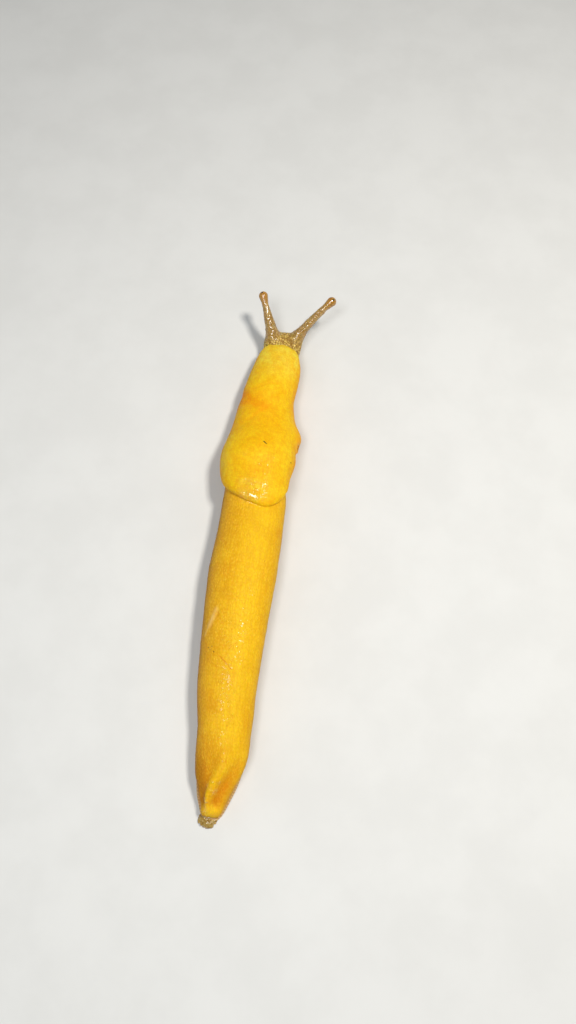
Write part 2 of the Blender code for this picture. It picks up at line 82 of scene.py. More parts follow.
def through(places: Array, values: Array, at: Array) -> Array:
    """A smooth curve through values, read at other places.

    Args:
        places: where the values are, rising.
        values: the values there.
        at: where to read the curve.

    Returns:
        The curve at each place in at.
    """
    slopes = np.gradient(values, places)
    i = np.clip(np.searchsorted(places, at, side="right") - 1, 0, len(places) - 2)
    step = places[i + 1] - places[i]
    t = np.clip((at - places[i]) / step, 0.0, 1.0)
    rise = values[i + 1] - values[i]
    bend_in = slopes[i] * step - rise
    bend_out = rise - slopes[i + 1] * step
    return values[i] + rise * t + t * (1 - t) * ((1 - t) * bend_in + t * bend_out)


def columns(table: Table, at: Array) -> list[Array]:
    """Smooth curves through a table's other columns, read at places in its first."""
    places, *values = np.array(table).T
    return [through(places, column, at) for column in values]


def fade(value: Array, *spans: Span) -> Array:
    """How far a value is into all of some spans.

    Args:
        value: the value.
        spans: where the share starts from 0 and where it reaches 1, smooth at both ends.

    Returns:
        The shares for each span, multiplied.
    """
    share = 1.0
    for start, full in spans:
        t = np.clip((value - start) / (full - start), 0.0, 1.0)
        share = share * (t * t * (3 - 2 * t))
    return share


def rounding(distance: Array, radius: float) -> Array:
    """From 0 at an edge to 1 once the distance from it reaches the radius, as a quarter circle."""
    share = np.clip(distance / radius, 0.0, 1.0)
    return np.sqrt(np.clip(1.0 - (1.0 - share) ** 2, 0.0, 1.0))


def bump(value: Array, centre: float, width: float) -> Array:
    """A bell curve of height 1 at the centre."""
    return np.exp(-(((value - centre) / width) ** 2))


def waves(table: Table, at: Array) -> Array:
    """Waves of some heights, rates and leads, added up."""
    return sum(height * np.sin(at * rate + lead) for height, rate, lead in table)


def length(*parts: Array) -> Array:
    """The length of what has these parts across each other."""
    return np.sqrt(sum(part**2 for part in parts))


def joined(a: Array, b: Array, reach: float) -> Array:
    """The union of two distance fields, with a fillet of that reach."""
    near = np.clip(reach - np.abs(a - b), 0, None) / reach
    return np.minimum(a, b) - near**3 * reach / 6


def within(a: Array, b: Array, reach: float) -> Array:
    """What two distance fields share, with an edge rounded over that reach."""
    return -joined(-a, -b, reach)


def from_oval(across: Array, up: Array, half: Array, rise: Array, power: float, least: float) -> Array:
    """Roughly how far places are from the edge of an oval.

    Args:
        across: how far out of its middle each place is.
        up: how far up each place is.
        half: half the oval's width.
        rise: its height.
        power: 2 for an ellipse, and more for a fuller top.
        least: the least steepness, so that the field doesn't run away near the middle.

    Returns:
        The distances, negative inside.
    """
    a, b = across / half, up / rise
    radius = np.sqrt(a**2 + b**power)
    steep = np.hypot(a / half, power / 2 * b ** (power - 1) / rise)
    return (radius - 1) * np.maximum(radius, TINY) / np.maximum(steep, least)


def from_tube(line: Array, radii: Array, x: Array, y: Array, z: Array) -> tuple[Array, Array]:
    """How far places are from a bent tube.

    Args:
        line: points on its axis, one to a row.
        radii: its radius at each of them.
        x, y, z: the places.

    Returns:
        The distances, and how many points along the axis the nearest part is.
    """
    shape = np.broadcast(x, y, z).shape
    away, where = np.full(shape, FAR), np.zeros(shape)
    for i, (a, edge) in enumerate(zip(line, np.diff(line, axis=0))):
        dx, dy, dz = x - a[0], y - a[1], z - a[2]
        t = np.clip((dx * edge[0] + dy * edge[1] + dz * edge[2]) / (edge @ edge), 0, 1)
        gap = length(dx - t * edge[0], dy - t * edge[1], dz - t * edge[2])
        gap = gap - (radii[i] + t * (radii[i + 1] - radii[i]))
        where = np.where(gap < away, i + t, where)
        away = np.minimum(away, gap)
    return away, where


def scatter(*cells: Array, seed: int) -> Array:
    """Draws a share for each cell, the same on every run.

    Args:
        cells: the cells' whole numbers, an array for each direction.
        seed: picks the draw.

    Returns:
        Shares spread evenly from 0 to 1.
    """
    mixed = np.full(np.broadcast(*cells).shape, seed * SEED_FACTOR + SEED_START, np.int64)
    for cell, factor in zip(cells, CELL_FACTORS):
        mixed = mixed + cell.astype(np.int64) * factor
    mixed &= WORD
    for shift, factor in SCRAMBLES:
        mixed = ((mixed ^ (mixed >> shift)) * factor) & WORD
    return (mixed ^ (mixed >> 16)) / WORD


def swell_noise(points: Array, size: float, seed: int) -> Array:
    """Soft swells and dips, each about size across.

    Args:
        points: places, three to a row.
        size: the width of a swell.
        seed: picks the pattern.

    Returns:
        A value between -1 and 1 for each row.
    """
    scaled = points / size
    base = np.floor(scaled)
    t = scaled - base
    t = t * t * (3 - 2 * t)
    total = np.zeros(len(points))
    for corner in np.ndindex(2, 2, 2):
        weight = np.prod(np.where(corner, t, 1 - t), axis=1)
        total += weight * scatter(*(base + corner).T, seed=seed)
    return total * 2 - 1


def swells(table: Table, points: Array) -> Array:
    """Swells of some heights, sizes and seeds, added up."""
    return sum(height * swell_noise(points, size, seed) for height, size, seed in table)


def cell_walls(places: Array, seed: int) -> Array:
    """How far each place is from the wall between two cells of an uneven pattern.

    Args:
        places: places in units of one cell, two or three to a row.
        seed: picks the pattern.

    Returns:
        0 on a wall, and about 0.5 or more in the middle of a cell.
    """
    base = np.floor(places)
    nearest, second = np.full(len(places), FAR), np.full(len(places), FAR)
    dimensions = places.shape[1]
    for corner in np.ndindex(*(3,) * dimensions):
        cell = base + np.array(corner) - 1
        spot = np.stack([scatter(*cell.T, seed=seed + k) for k in range(dimensions)], axis=1)
        away = np.linalg.norm(cell + 0.15 + 0.7 * spot - places, axis=1)
        second = np.minimum(second, np.maximum(nearest, away))
        nearest = np.minimum(nearest, away)
    return second - nearest


class Cells(NamedTuple):
    """An uneven pattern of cells with a furrow round each, as wide as that share of a cell."""

    size: float | Pair
    furrow: float
    seed: int

    def furrows(self, places: Array, moved: Array | float = 0.0) -> Array:
        """1 in the furrows and 0 on the cells. Places are in millimetres, and are moved by cells."""
        return 1 - fade(cell_walls(places / self.size + moved, self.seed), (0.0, self.furrow))


class Patch(NamedTuple):
    """A soft patch of the skin, whose middle leans back by slant for each unit of girth."""

    strength: float
    y: float
    along: float
    girth: float
    around: float
    slant: float = 0.0

    def on(self, y: Array, girth: Array) -> Array:
        """Its strength at each place."""
        middle = self.y - self.slant * girth
        return self.strength * bump(y, middle, self.along) * bump(girth, self.girth, self.around)


class Wash(NamedTuple):
    """A wash over the skin that fades in over spans of y and of girth."""

    strength: float
    y: tuple[Span, ...] = ()
    girth: tuple[Span, ...] = ()

    def on(self, y: Array, girth: Array) -> Array:
        """Its strength at each place."""
        return self.strength * fade(y, *self.y) * fade(girth, *self.girth)


# The forms of the animal, as fields of distances


class Section(NamedTuple):
    """The body's cross section at each y."""

    middle: Array
    half: Array
    groove: Array
    waist: Array
    rise: Array


@dataclass
class Body:
    """The long body over the foot, a loft through named sections.

    Every place on the skin also has a girth, which is 0 on the middle of the back, -1 at the left
    edge of the foot and +1 at its right edge.
    """

    # y, left side, right side, top of the back
    stations: Table = (
        (-90.5, -0.5, 5.9, 5.0), (-88.0, -1.2, 6.7, 6.8), (-84.0, -2.7, 8.1, 8.9),
        (-80.0, -3.9, 9.7, 10.4), (-76.0, -4.8, 11.2, 11.6), (-70.0, -5.7, 12.4, 13.0),
        (-62.0, -6.6, 12.3, 14.6), (-50.0, -8.9, 11.8, 16.2), (-37.0, -10.2, 11.8, 17.4),
        (-24.0, -11.4, 11.9, 18.1), (-6.0, -12.6, 12.4, 18.7), (5.0, -12.3, 12.3, 18.6),
        (13.0, -12.2, 12.0, 18.3), (19.5, -12.4, 11.7, 18.1), (26.0, -12.6, 10.9, 18.2),
        (31.0, -13.5, 9.9, 18.6), (38.0, -13.9, 10.3, 18.9), (44.0, -13.1, 10.4, 18.0),
        (50.0, -12.3, 10.0, 16.7), (57.0, -11.9, 8.0, 15.5), (65.5, -11.1, 6.2, 14.6),
        (74.0, -10.2, 6.8, 13.6), (81.0, -9.1, 7.2, 12.6), (86.0, -8.3, 6.9, 11.7),
        (90.0, -8.0, 6.7, 10.6), (94.0, -8.1, 6.4, 9.4), (99.8, -7.0, 5.6, 7.6),
    )
    tail_end: float = -90.5
    snout: float = 99.8
    tail_rounding: float = 3.6
    snout_rounding: float = 6.5
    low: float = 1.75            # where the body is sunk into the foot
    solid_low: float = 2.3       # the body's lower side in the solids, which the waist goes by
    waist_share: float = 0.44
    widest_girth: float = 0.72
    fullness: float = 0.92
    least_steep: Pair = (0.01, 0.08)        # above the waist and below it
    groove_share: float = 0.86
    groove_inset: float = 0.5
    girth_length: float = 30.0   # from the middle of the back to the foot, over the skin
    keel_height: float = 1.15
    keel_width: float = 0.12
    keel_spans: tuple[Span, Span] = ((-89.0, -85.5), (-64.0, -76.0))
    keel_side: float = 0.07      # the girth of its line
    keel_lean: float = 0.24      # how much further left the line lies at the tail's end
    lean_span: Span = (-74.0, -87.0)
    hollow_depth: float = 0.55
    hollows: tuple[Bell, Bell] = ((0.30, 0.15), (-0.29, 0.16))
    knob: Patch = Patch(0.35, -88.4, 1.9, 0.0, 0.5)
    tail_tuck: float = 0.7       # how much further in than the foot the tail's left side lies
    tuck_spans: tuple[Span, Span] = ((-77.0, -83.0), (-90.5, -86.5))

    def section(self, y: Array) -> Section:
        """The cross section at each y.

        Args:
            y: places along the body.

        Returns:
            The section's sizes there.
        """
        left, right, top = columns(self.stations, y)
        left = left + self.tail_tuck * fade(y, *self.tuck_spans)
        half = (right - left) / 2
        waist = self.solid_low + (top - self.solid_low) * self.waist_share
        groove = np.minimum(FOOT.plan(y)[1] - self.groove_inset, half * self.groove_share)
        return Section((left + right) / 2, half, groove, waist, top - waist)

    def girth(self, x: Array, y: Array, z: Array) -> Array:
        """The girth of places on or near the skin.

        Args:
            x, y, z: the places.

        Returns:
            The girths, from -1 to 1.
        """
        s = self.section(y)
        aside, up = np.abs(x - s.middle), z - s.waist
        over = np.arctan2((np.clip(up, 0, None) / s.rise) ** (1 / self.fullness), aside / s.half)
        over_share = self.widest_girth * (1 - over / (np.pi / 2))
        across = (aside - s.groove) / (s.half - s.groove)
        under = np.arctan2(np.clip(-up, 0, None) / (s.waist - self.solid_low), across)
        under_share = self.widest_girth + (1 - self.widest_girth) * under / (np.pi / 2)
        share = np.where(up >= 0, over_share, np.clip(under_share, 0, 1.0))
        return np.sign(x - s.middle) * share

    def distance(self, x: Array, y: Array, z: Array) -> Array:
        """The distance from the bare body.

        Args:
            x, y, z: the places.

        Returns:
            The distances, negative inside.
        """
        s = self.section(y)
        aside, up = np.abs(x - s.middle), z - s.waist
        over, under = self.least_steep
        above = from_oval(aside, np.clip(up, 0, None), s.half, s.rise, 2 / self.fullness, over)
        beside, down = np.clip(aside - s.groove, 0, None), np.clip(-up, 0, None)
        below = from_oval(beside, down, s.half - s.groove, s.waist - self.low, 2.0, under)
        away = within(np.where(up >= 0, above, below), y - self.snout, self.snout_rounding)
        return within(away, self.tail_end - y, self.tail_rounding)

    def from_keel(self, y: Array, girth: Array) -> Array:
        """How far a place is from the keel's line, which leans left toward the tail's end."""
        return girth - self.keel_side + self.keel_lean * fade(y, self.lean_span)

    def keel(self, y: Array, girth: Array) -> Array:
        """How far the keel and the tail's knob stand over the tail.

        Args:
            y, girth: the places.

        Returns:
            Their height, less than 0 in the hollows beside the keel.
        """
        line = self.from_keel(y, girth)
        hollows = sum(bump(line, *hollow) for hollow in self.hollows)
        ridge = self.keel_height * bump(line, 0.0, self.keel_width) - self.hollow_depth * hollows
        return fade(y, *self.keel_spans) * ridge + self.knob.on(y, girth)

    def place(self, y: float, girth: float) -> Array:
        """The point of the bare body at that y and girth.

        Args:
            y: the place along the body.
            girth: the place around it.

        Returns:
            The point.
        """
        s = self.section(np.array([y]))
        share = abs(girth)
        over = np.pi / 2 * (1 - min(share / self.widest_girth, 1))
        under = np.pi / 2 * max((share - self.widest_girth) / (1 - self.widest_girth), 0)
        across = s.half * np.cos(over) if under == 0 else s.groove + (s.half - s.groove) * np.cos(under)
        up = s.waist + s.rise * np.sin(over) ** self.fullness - (s.waist - self.solid_low) * np.sin(under)
        return np.array([s.middle[0] + np.sign(girth) * across[0], y, up[0]])


@dataclass
class Foot:
    """The flat foot, whose striped fringe shows under the body."""

    rear: float = -91.6
    front: float = 91.5
    rounding: float = 7.0
    rear_rounding: float = 4.5
    height: float = 2.0
    edge_radius: float = 0.9
    fillet: float = 0.9          # where the body rises from it
    # y, and the half width there as a share of the body's
    shares: Table = (
        (-91.0, 1.12), (-86.0, 1.13), (-81.0, 1.06), (-74.0, 0.93), (-55.0, 0.82), (60.0, 0.82), (92.0, 0.88),
    )

    def plan(self, y: Array) -> tuple[Array, Array]:
        """The foot's middle, and half its width."""
        left, right, _ = columns(Body.stations, y)
        return (left + right) / 2, (right - left) / 2 * columns(self.shares, y)[0]

    def distance(self, x: Array, y: Array, z: Array) -> Array:
        """The distance from the foot.

        Args:
            x, y, z: the places.

        Returns:
            The distances, negative inside.
        """
        middle, half = self.plan(y)
        plan = within(np.abs(x - middle) - half, y - self.front, self.rounding)
        out = within(plan, self.rear - y, self.rear_rounding) + self.edge_radius
        up = np.abs(z - self.height / 2) - self.height / 2 + self.edge_radius
        outside = np.hypot(np.clip(out, 0, None), np.clip(up, 0, None))
        return outside + np.minimum(np.maximum(out, up), 0) - self.edge_radius


@dataclass
class Mantle:
    """The smooth shield and hood over the front of the back, with its free lip."""

    rear: float = 17.3
    apex: float = 0.15
    rear_sweep: Pair = (10.6, 16.4)         # left and right
    rear_bend: Pair = (1.5, 1.9)
    front: float = 90.0
    front_sweep: Pair = (4.5, 9.5)
    front_bend: float = 3.0
    lower_girth: float = 0.80
    corner: float = 2.0          # how its edges are rounded where they meet
    low_corner: float = 8.0
    # height, rate and lead of the waves in its front edge and its lower edge
    front_waves: Table = ((0.22, 17.0, 0.6), (0.12, 41.0, 0.0))
    side_waves: Table = ((0.012, 0.35, 0.0), (0.007, 0.93, 1.0))
    base: float = 0.3            # under its padding
    edge: float = 3.4            # over how far it swells to its full thickness
    lip: float = 0.42
    lip_span: Span = (-0.3, 0.35)
    thin_lip: Wash = Wash(0.55, ((40.0, 30.0),), ((0.0, 0.3),))
    furrow: float = 0.24         # along the lip, as a share of its height
    furrow_line: Bell = (-0.5, 0.45)
    # y, thickness on the back, thickness at the side
    padding: Table = (
        (16.0, 1.5, 1.1), (21.0, 2.0, 1.1), (27.0, 2.6, 1.3), (34.0, 2.9, 1.9), (42.0, 2.7, 2.0),
        (50.0, 2.0, 1.9), (58.0, 1.7, 1.7), (68.0, 1.9, 1.6), (78.0, 1.6, 1.3), (90.0, 1.2, 1.0),
    )
    # the crease over the left shoulder, and the faint folds on the hood
    creases: tuple[Patch, ...] = (
        Patch(0.55, 59.0, 2.6, -0.42, 0.34, 9.0), Patch(0.17, 68.8, 1.0, 0.0, 0.36, -9.0),
        Patch(0.08, 76.0, 0.8, -0.15, 0.3, -5.0), Patch(0.20, 57.5, 1.5, -0.12, 0.25, -28.0),
        Patch(0.10, 62.5, 1.0, 0.22, 0.25, -16.0), Patch(0.12, 47.0, 2.0, -0.3, 0.2, 10.0),
        Patch(0.14, 30.5, 4.5, -0.55, 0.2, 3.0), Patch(0.10, 83.0, 1.4, 0.3, 0.2, 12.0),
    )
    # a swelling ahead of the pore, and a notch just behind its middle
    pore_swells: tuple[Patch, Patch] = (Patch(1.2, 50.1, 4.3, 0.66, 0.17), Patch(-0.6, 43.6, 2.6, 0.66, 0.2))

    def from_edge(self, y: Array, girth: Array) -> Array:
        """How far inside its free edge a place is.

        Args:
            y, girth: the places.

        Returns:
            The distances, negative outside the mantle.
        """
        widest, off = BODY.widest_girth, girth - self.apex
        left = self.rear_sweep[0] * (np.clip(-off, 0, None) / (widest + self.apex)) ** self.rear_bend[0]
        right = self.rear_sweep[1] * (np.clip(off, 0, None) / (widest - self.apex)) ** self.rear_bend[1]
        behind = y - (self.rear + left + right)
        sweep = np.where(girth < 0, *self.front_sweep) * (np.abs(girth) / widest) ** self.front_bend
        ahead = self.front - sweep - y + waves(self.front_waves, girth)
        below = (self.lower_girth + waves(self.side_waves, y) - np.abs(girth)) * BODY.girth_length
        return joined(joined(behind, ahead, self.corner), below, self.low_corner)

    def thickness(self, y: Array, girth: Array) -> Array:
        """Its thickness before the edge thins it, over its base.

        Args:
            y, girth: the places.

        Returns:
            The thicknesses.
        """
        top, side = columns(self.padding, y)
        share = np.clip(np.abs(girth) / BODY.widest_girth, 0, 1) ** 2
        swells_there = sum(patch.on(y, girth) for patch in self.pore_swells)
        return top + (side - top) * share + swells_there - self.folds(y, girth)

    def folds(self, y: Array, girth: Array) -> Array:
        """How deep the crease over the left shoulder and the faint folds on the hood are."""
        return sum(crease.on(y, girth) for crease in self.creases)

    def height(self, y: Array, girth: Array) -> Array:
        """How far its surface stands over the bare body, with a tight furrow along the lip.

        Args:
            y, girth: the places.

        Returns:
            The heights, 0 away from the mantle.
        """
        inside = self.from_edge(y, girth)
        lip = self.lip * (1 - self.thin_lip.on(y, girth))
        full = (self.thickness(y, girth) + self.base - lip) * rounding(inside, self.edge)
        return lip * fade(inside, self.lip_span) + full - self.furrow * lip * bump(inside, *self.furrow_line)


@dataclass
class Pore:
    """The breathing pore, low on the mantle's right side."""

    y: float = 45.4
    girth: float = 0.66
    radius: float = 1.35
    lip: float = 0.5
    proud: float = -0.35
    lengthened: float = 1.2
    hollow: Triple = (1.15, 0.85, 1.5)
    fillet: float = 0.9
    rim: float = 0.5
    reach: float = 8.0           # nothing of it lies further off along the body

    def axes(self) -> tuple[Array, Array, Array, Array]:
        """Its place on the mantle.

        Returns:
            Its centre, and its directions along the body, up the flank and outward.
        """
        small = 0.01
        along = BODY.place(self.y + small, self.girth) - BODY.place(self.y - small, self.girth)
        across = BODY.place(self.y, self.girth + small) - BODY.place(self.y, self.girth - small)
        out = np.cross(across, along)
        out /= np.linalg.norm(out)
        along /= np.linalg.norm(along)
        thickness = MANTLE.thickness(np.array([self.y]), np.array([self.girth]))[0]
        lift = MANTLE.base + float(thickness) + self.proud
        return BODY.place(self.y, self.girth) + out * lift, along, np.cross(out, along), out

    def local(self, x: Array, y: Array, z: Array) -> tuple[Array, Array, Array]:
        """Places measured from the pore.

        Args:
            x, y, z: the places.

        Returns:
            How far along the body, up the flank and outward each is.
        """
        centre, *axes = self.axes()
        offsets = (x - centre[0], y - centre[1], z - centre[2])
        a, b, c = (sum(offset * part for offset, part in zip(offsets, axis)) for axis in axes)
        return a / self.lengthened, b, c

    def apply(self, away: Array, x: Array, y: Array, z: Array) -> Array:
        """Adds the raised lip to a field and takes the hollow out.

        Args:
            away: the field.
            x, y, z: its places.

        Returns:
            The field with the pore.
        """
        local = self.local(x, y, z)
        ring = np.hypot(np.hypot(*local[:2]) - self.radius, local[2]) - self.lip
        k = length(*(part / size for part, size in zip(local, self.hollow)))
        return within(joined(away, ring, self.fillet), -(k - 1) * self.hollow[1], self.rim)


@dataclass
class Tentacle:
    """A tentacle from its root in the head over a bend to its rounded tip."""

    root: Triple
    bend: Triple
    tip: Triple
    radii: tuple[float, ...]
    places: tuple[float, ...] = (0.0, 0.22, 0.36, 0.51, 0.67, 0.82, 0.93)
    steps: int = 30

    def axis(self, share: Array) -> Array:
        """Points on its axis.

        Args:
            share: places along it, from 0 at the root to 1 past the tip.

        Returns:
            The points, one to a row.
        """
        root, bend, tip = (np.array(p) for p in (self.root, self.bend, self.tip))
        control = 2 * bend - (root + tip) / 2
        s = np.atleast_1d(share)[:, None]
        return (1 - s) ** 2 * root + 2 * s * (1 - s) * control + s**2 * tip

    def measure(self, x: Array, y: Array, z: Array) -> tuple[Array, Array]:
        """How far places are from its surface.

        Args:
            x, y, z: the places.

        Returns:
            The distances, and the share of its length at the nearest part.
        """
        shares = np.linspace(0, self.places[-1], self.steps + 1)
        radii = through(np.array(self.places), np.array(self.radii), shares)
        away, where = from_tube(self.axis(shares), radii, x, y, z)
        return away, where * shares[1]


FEELER_RADII = (1.5, 1.3, 1.15, 0.95, 0.8, 0.75, 0.95)


@dataclass
class Head:
    """The head's tentacles and its two soft lips."""

    stalks: dict[Side, Tentacle] = field(default_factory=lambda: {
        Side.LEFT: Tentacle(
            (-3.6, 92.4, 4.6), (-6.85, 98.6, 13.1), (-11.35, 108.9, 18.8),
            (3.4, 2.9, 2.42, 2.0, 1.58, 1.34, 1.86),
        ),
        Side.RIGHT: Tentacle(
            (2.1, 93.0, 4.6), (9.2, 100.7, 12.9), (18.55, 110.0, 18.8),
            (3.5, 2.7, 2.0, 1.7, 1.54, 1.38, 1.92),
        ),
    })
    feelers: dict[Side, Tentacle] = field(default_factory=lambda: {
        Side.LEFT: Tentacle((-4.3, 94.8, 4.8), (-5.1, 98.9, 4.3), (-5.9, 102.6, 3.1), FEELER_RADII),
        Side.RIGHT: Tentacle((2.8, 94.8, 4.8), (3.8, 98.9, 4.3), (4.8, 102.5, 3.1), FEELER_RADII),
    })
    stalk_fillet: float = 4.6
    feeler_fillet: float = 1.3
    lobe_fillet: float = 0.9
    lobe_radii: Triple = (2.5, 2.3, 1.75)
    lobe_roll: float = 20.0
    lobe_apart: float = 2.55     # half the way from one lip's middle to the other's
    lobe_centre: Triple = (-0.8, 98.5, 2.4)
    least_steep: float = 1e-3
    starts: float = 82.0         # nothing of the head reaches further back

    def lobe(self, sign: int, x: Array, y: Array, z: Array) -> Array:
        """The distance from one lip.

        Args:
            sign: -1 for the left one and 1 for the right one.
            x, y, z: the places.

        Returns:
            The distances, negative inside.
        """
        turn = math.radians(sign * self.lobe_roll)
        dx = x - self.lobe_centre[0] - sign * self.lobe_apart
        dy, dz = y - self.lobe_centre[1], z - self.lobe_centre[2]
        local = (dx * math.cos(turn) - dz * math.sin(turn), dy, dx * math.sin(turn) + dz * math.cos(turn))
        k = length(*(part / radius for part, radius in zip(local, self.lobe_radii)))
        steep = length(*(part / radius**2 for part, radius in zip(local, self.lobe_radii)))
        return k * (k - 1) / np.maximum(steep, self.least_steep)

    def apply(self, away: Array, x: Array, y: Array, z: Array) -> Array:
        """Joins the stalks, feelers and lips to the head.

        Args:
            away: the field of the body.
            x, y, z: its places.

        Returns:
            The field with all of them.
        """
        for tentacles, fillet in ((self.stalks, self.stalk_fillet), (self.feelers, self.feeler_fillet)):
            for tentacle in tentacles.values():
                away = joined(away, tentacle.measure(x, y, z)[0], fillet)
        for sign in (-1, 1):
            away = joined(away, self.lobe(sign, x, y, z), self.lobe_fillet)
        return away


BODY = Body()
FOOT = Foot()
PORE = Pore()
MANTLE = Mantle()
HEAD = Head()


# From a field to a mesh


@dataclass
class SurfaceNet:
    """Turns a field of distances into a closed mesh of even squares."""

    xs: Array
    ys: Array
    zs: Array
    rows_at_once: int = 24

    def mesh(self, form: Form) -> tuple[Array, list]:
        """Draws the net over the places where the field changes sign.

        Args:
            form: gives the field at x, y and z.

        Returns:
            The points, and the four-cornered faces, turned outward.
        """
        values = np.concatenate([
            form(self.xs[None, :, None], rows[:, None, None], self.zs[None, None, :])
            for rows in np.array_split(self.ys, max(1, len(self.ys) // self.rows_at_once))
        ])
        inside, parts = values < 0, (slice(None, -1), slice(1, None))
        count = sum(inside[parts[j], parts[i], parts[k]].astype(np.uint8) for j, i, k in np.ndindex(2, 2, 2))
        cells = np.argwhere((count > 0) & (count < 8))
        number = np.full(count.shape, -1, np.int64)
        number[tuple(cells.T)] = np.arange(len(cells))
        return self.points(values, cells), self.faces(inside, number)

    def points(self, values: Array, cells: Array) -> Array:
        """Puts a point in each cell, amid the places where the surface crosses the cell's edges.

        Args:
            values: the field on the grid, by y, x and z.
            cells: the cells that the surface crosses.

        Returns:
            The points.
        """
        axes = (self.ys, self.xs, self.zs)
        total, hits = np.zeros((len(cells), 3)), np.zeros(len(cells))
        for axis in range(3):
            for side in np.ndindex(2, 2):
                a = cells + np.insert(np.array(side), axis, 0)
                b = a + np.eye(3, dtype=int)[axis]
                va, vb = values[tuple(a.T)], values[tuple(b.T)]
                crossed = (va < 0) != (vb < 0)
                t = np.where(crossed, va / np.where(crossed, va - vb, 1), 0)
                point = np.stack([axes[d][a[:, d]] for d in range(3)], axis=1)
                point[:, axis] += t * (axes[axis][b[:, axis]] - axes[axis][a[:, axis]])
                total += np.where(crossed[:, None], point, 0)
                hits += crossed
        return (total / hits[:, None])[:, [1, 0, 2]]

    def faces(self, inside: Array, number: Array) -> list:
        """Lays a face over each edge of the grid that the surface crosses.

        Args:
            inside: which places of the grid are inside.
            number: the number of each cell's point.

        Returns:
            The corners of each face.
        """
        faces = []
        for axis in range(3):
            low, high = [slice(1, -1)] * 3, [slice(1, -1)] * 3
            low[axis], high[axis] = slice(None, -1), slice(1, None)
            before, after = inside[tuple(low)], inside[tuple(high)]
            spots = np.argwhere(before != after)
            others = [d for d in range(3) if d != axis]
            ring = []
            for shift in ((0, 0), (1, 0), (1, 1), (0, 1)):
                cell = spots.copy()
                cell[:, others] += shift
                ring.append(number[tuple(cell.T)])
            ring = np.stack(ring, axis=1)
            leaving = before[tuple(spots.T)]
            flip = ~leaving if axis == 1 else leaving
            ring[flip] = ring[flip][:, ::-1]
            faces.append(ring)
        return np.concatenate(faces).tolist()


def gradient(form: Form, points: Array, small: float) -> Array:
    """The direction in which a field grows.

    Args:
        form: the field.
        points: where to read it.
        small: how far to look to each side.

    Returns:
        A direction for each point, not yet of unit length.
    """
    x, y, z = points.T
    return np.stack([
        form(x + small, y, z) - form(x - small, y, z),
        form(x, y + small, z) - form(x, y - small, z),
        form(x, y, z + small) - form(x, y, z - small),
    ], axis=1) / (2 * small)


def in_parts(points: Array) -> list[Array]:
    """The points' numbers in forty parts, so that no step needs much memory."""
    return np.array_split(np.arange(len(points)), 40)


def piece(name: str, points: Array, faces: list, slot: str, *replaced: str) -> bpy.types.Object:
    """Makes a smooth-shaded mesh that rides on the frame.

    Args:
        name: the piece's name.
        points: its points in millimetres.
        faces: the corners of each face.
        slot: the record's material slot that it takes its finish from, which is not used.
        replaced: the nodes that it stands for.

    Returns:
        The new object.
    """
    mesh = bpy.data.meshes.new(name)
    mesh.from_pydata((points * MM).tolist(), [], faces)
    mesh.shade_smooth()
    thing = bpy.data.objects.new(name, mesh)
    bpy.context.scene.collection.objects.link(thing)
    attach(thing, "root")
    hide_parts(*replaced)
    LOG.info("%s: %d points, %d faces", name, len(mesh.vertices), len(mesh.polygons))
    return thing


def bare_skin(made: Masks) -> Array:
    """How far each place is from being mantle, head or fringe."""
    return (1 - made["mantle"]) * (1 - made["head"]) * (1 - made["fringe"])


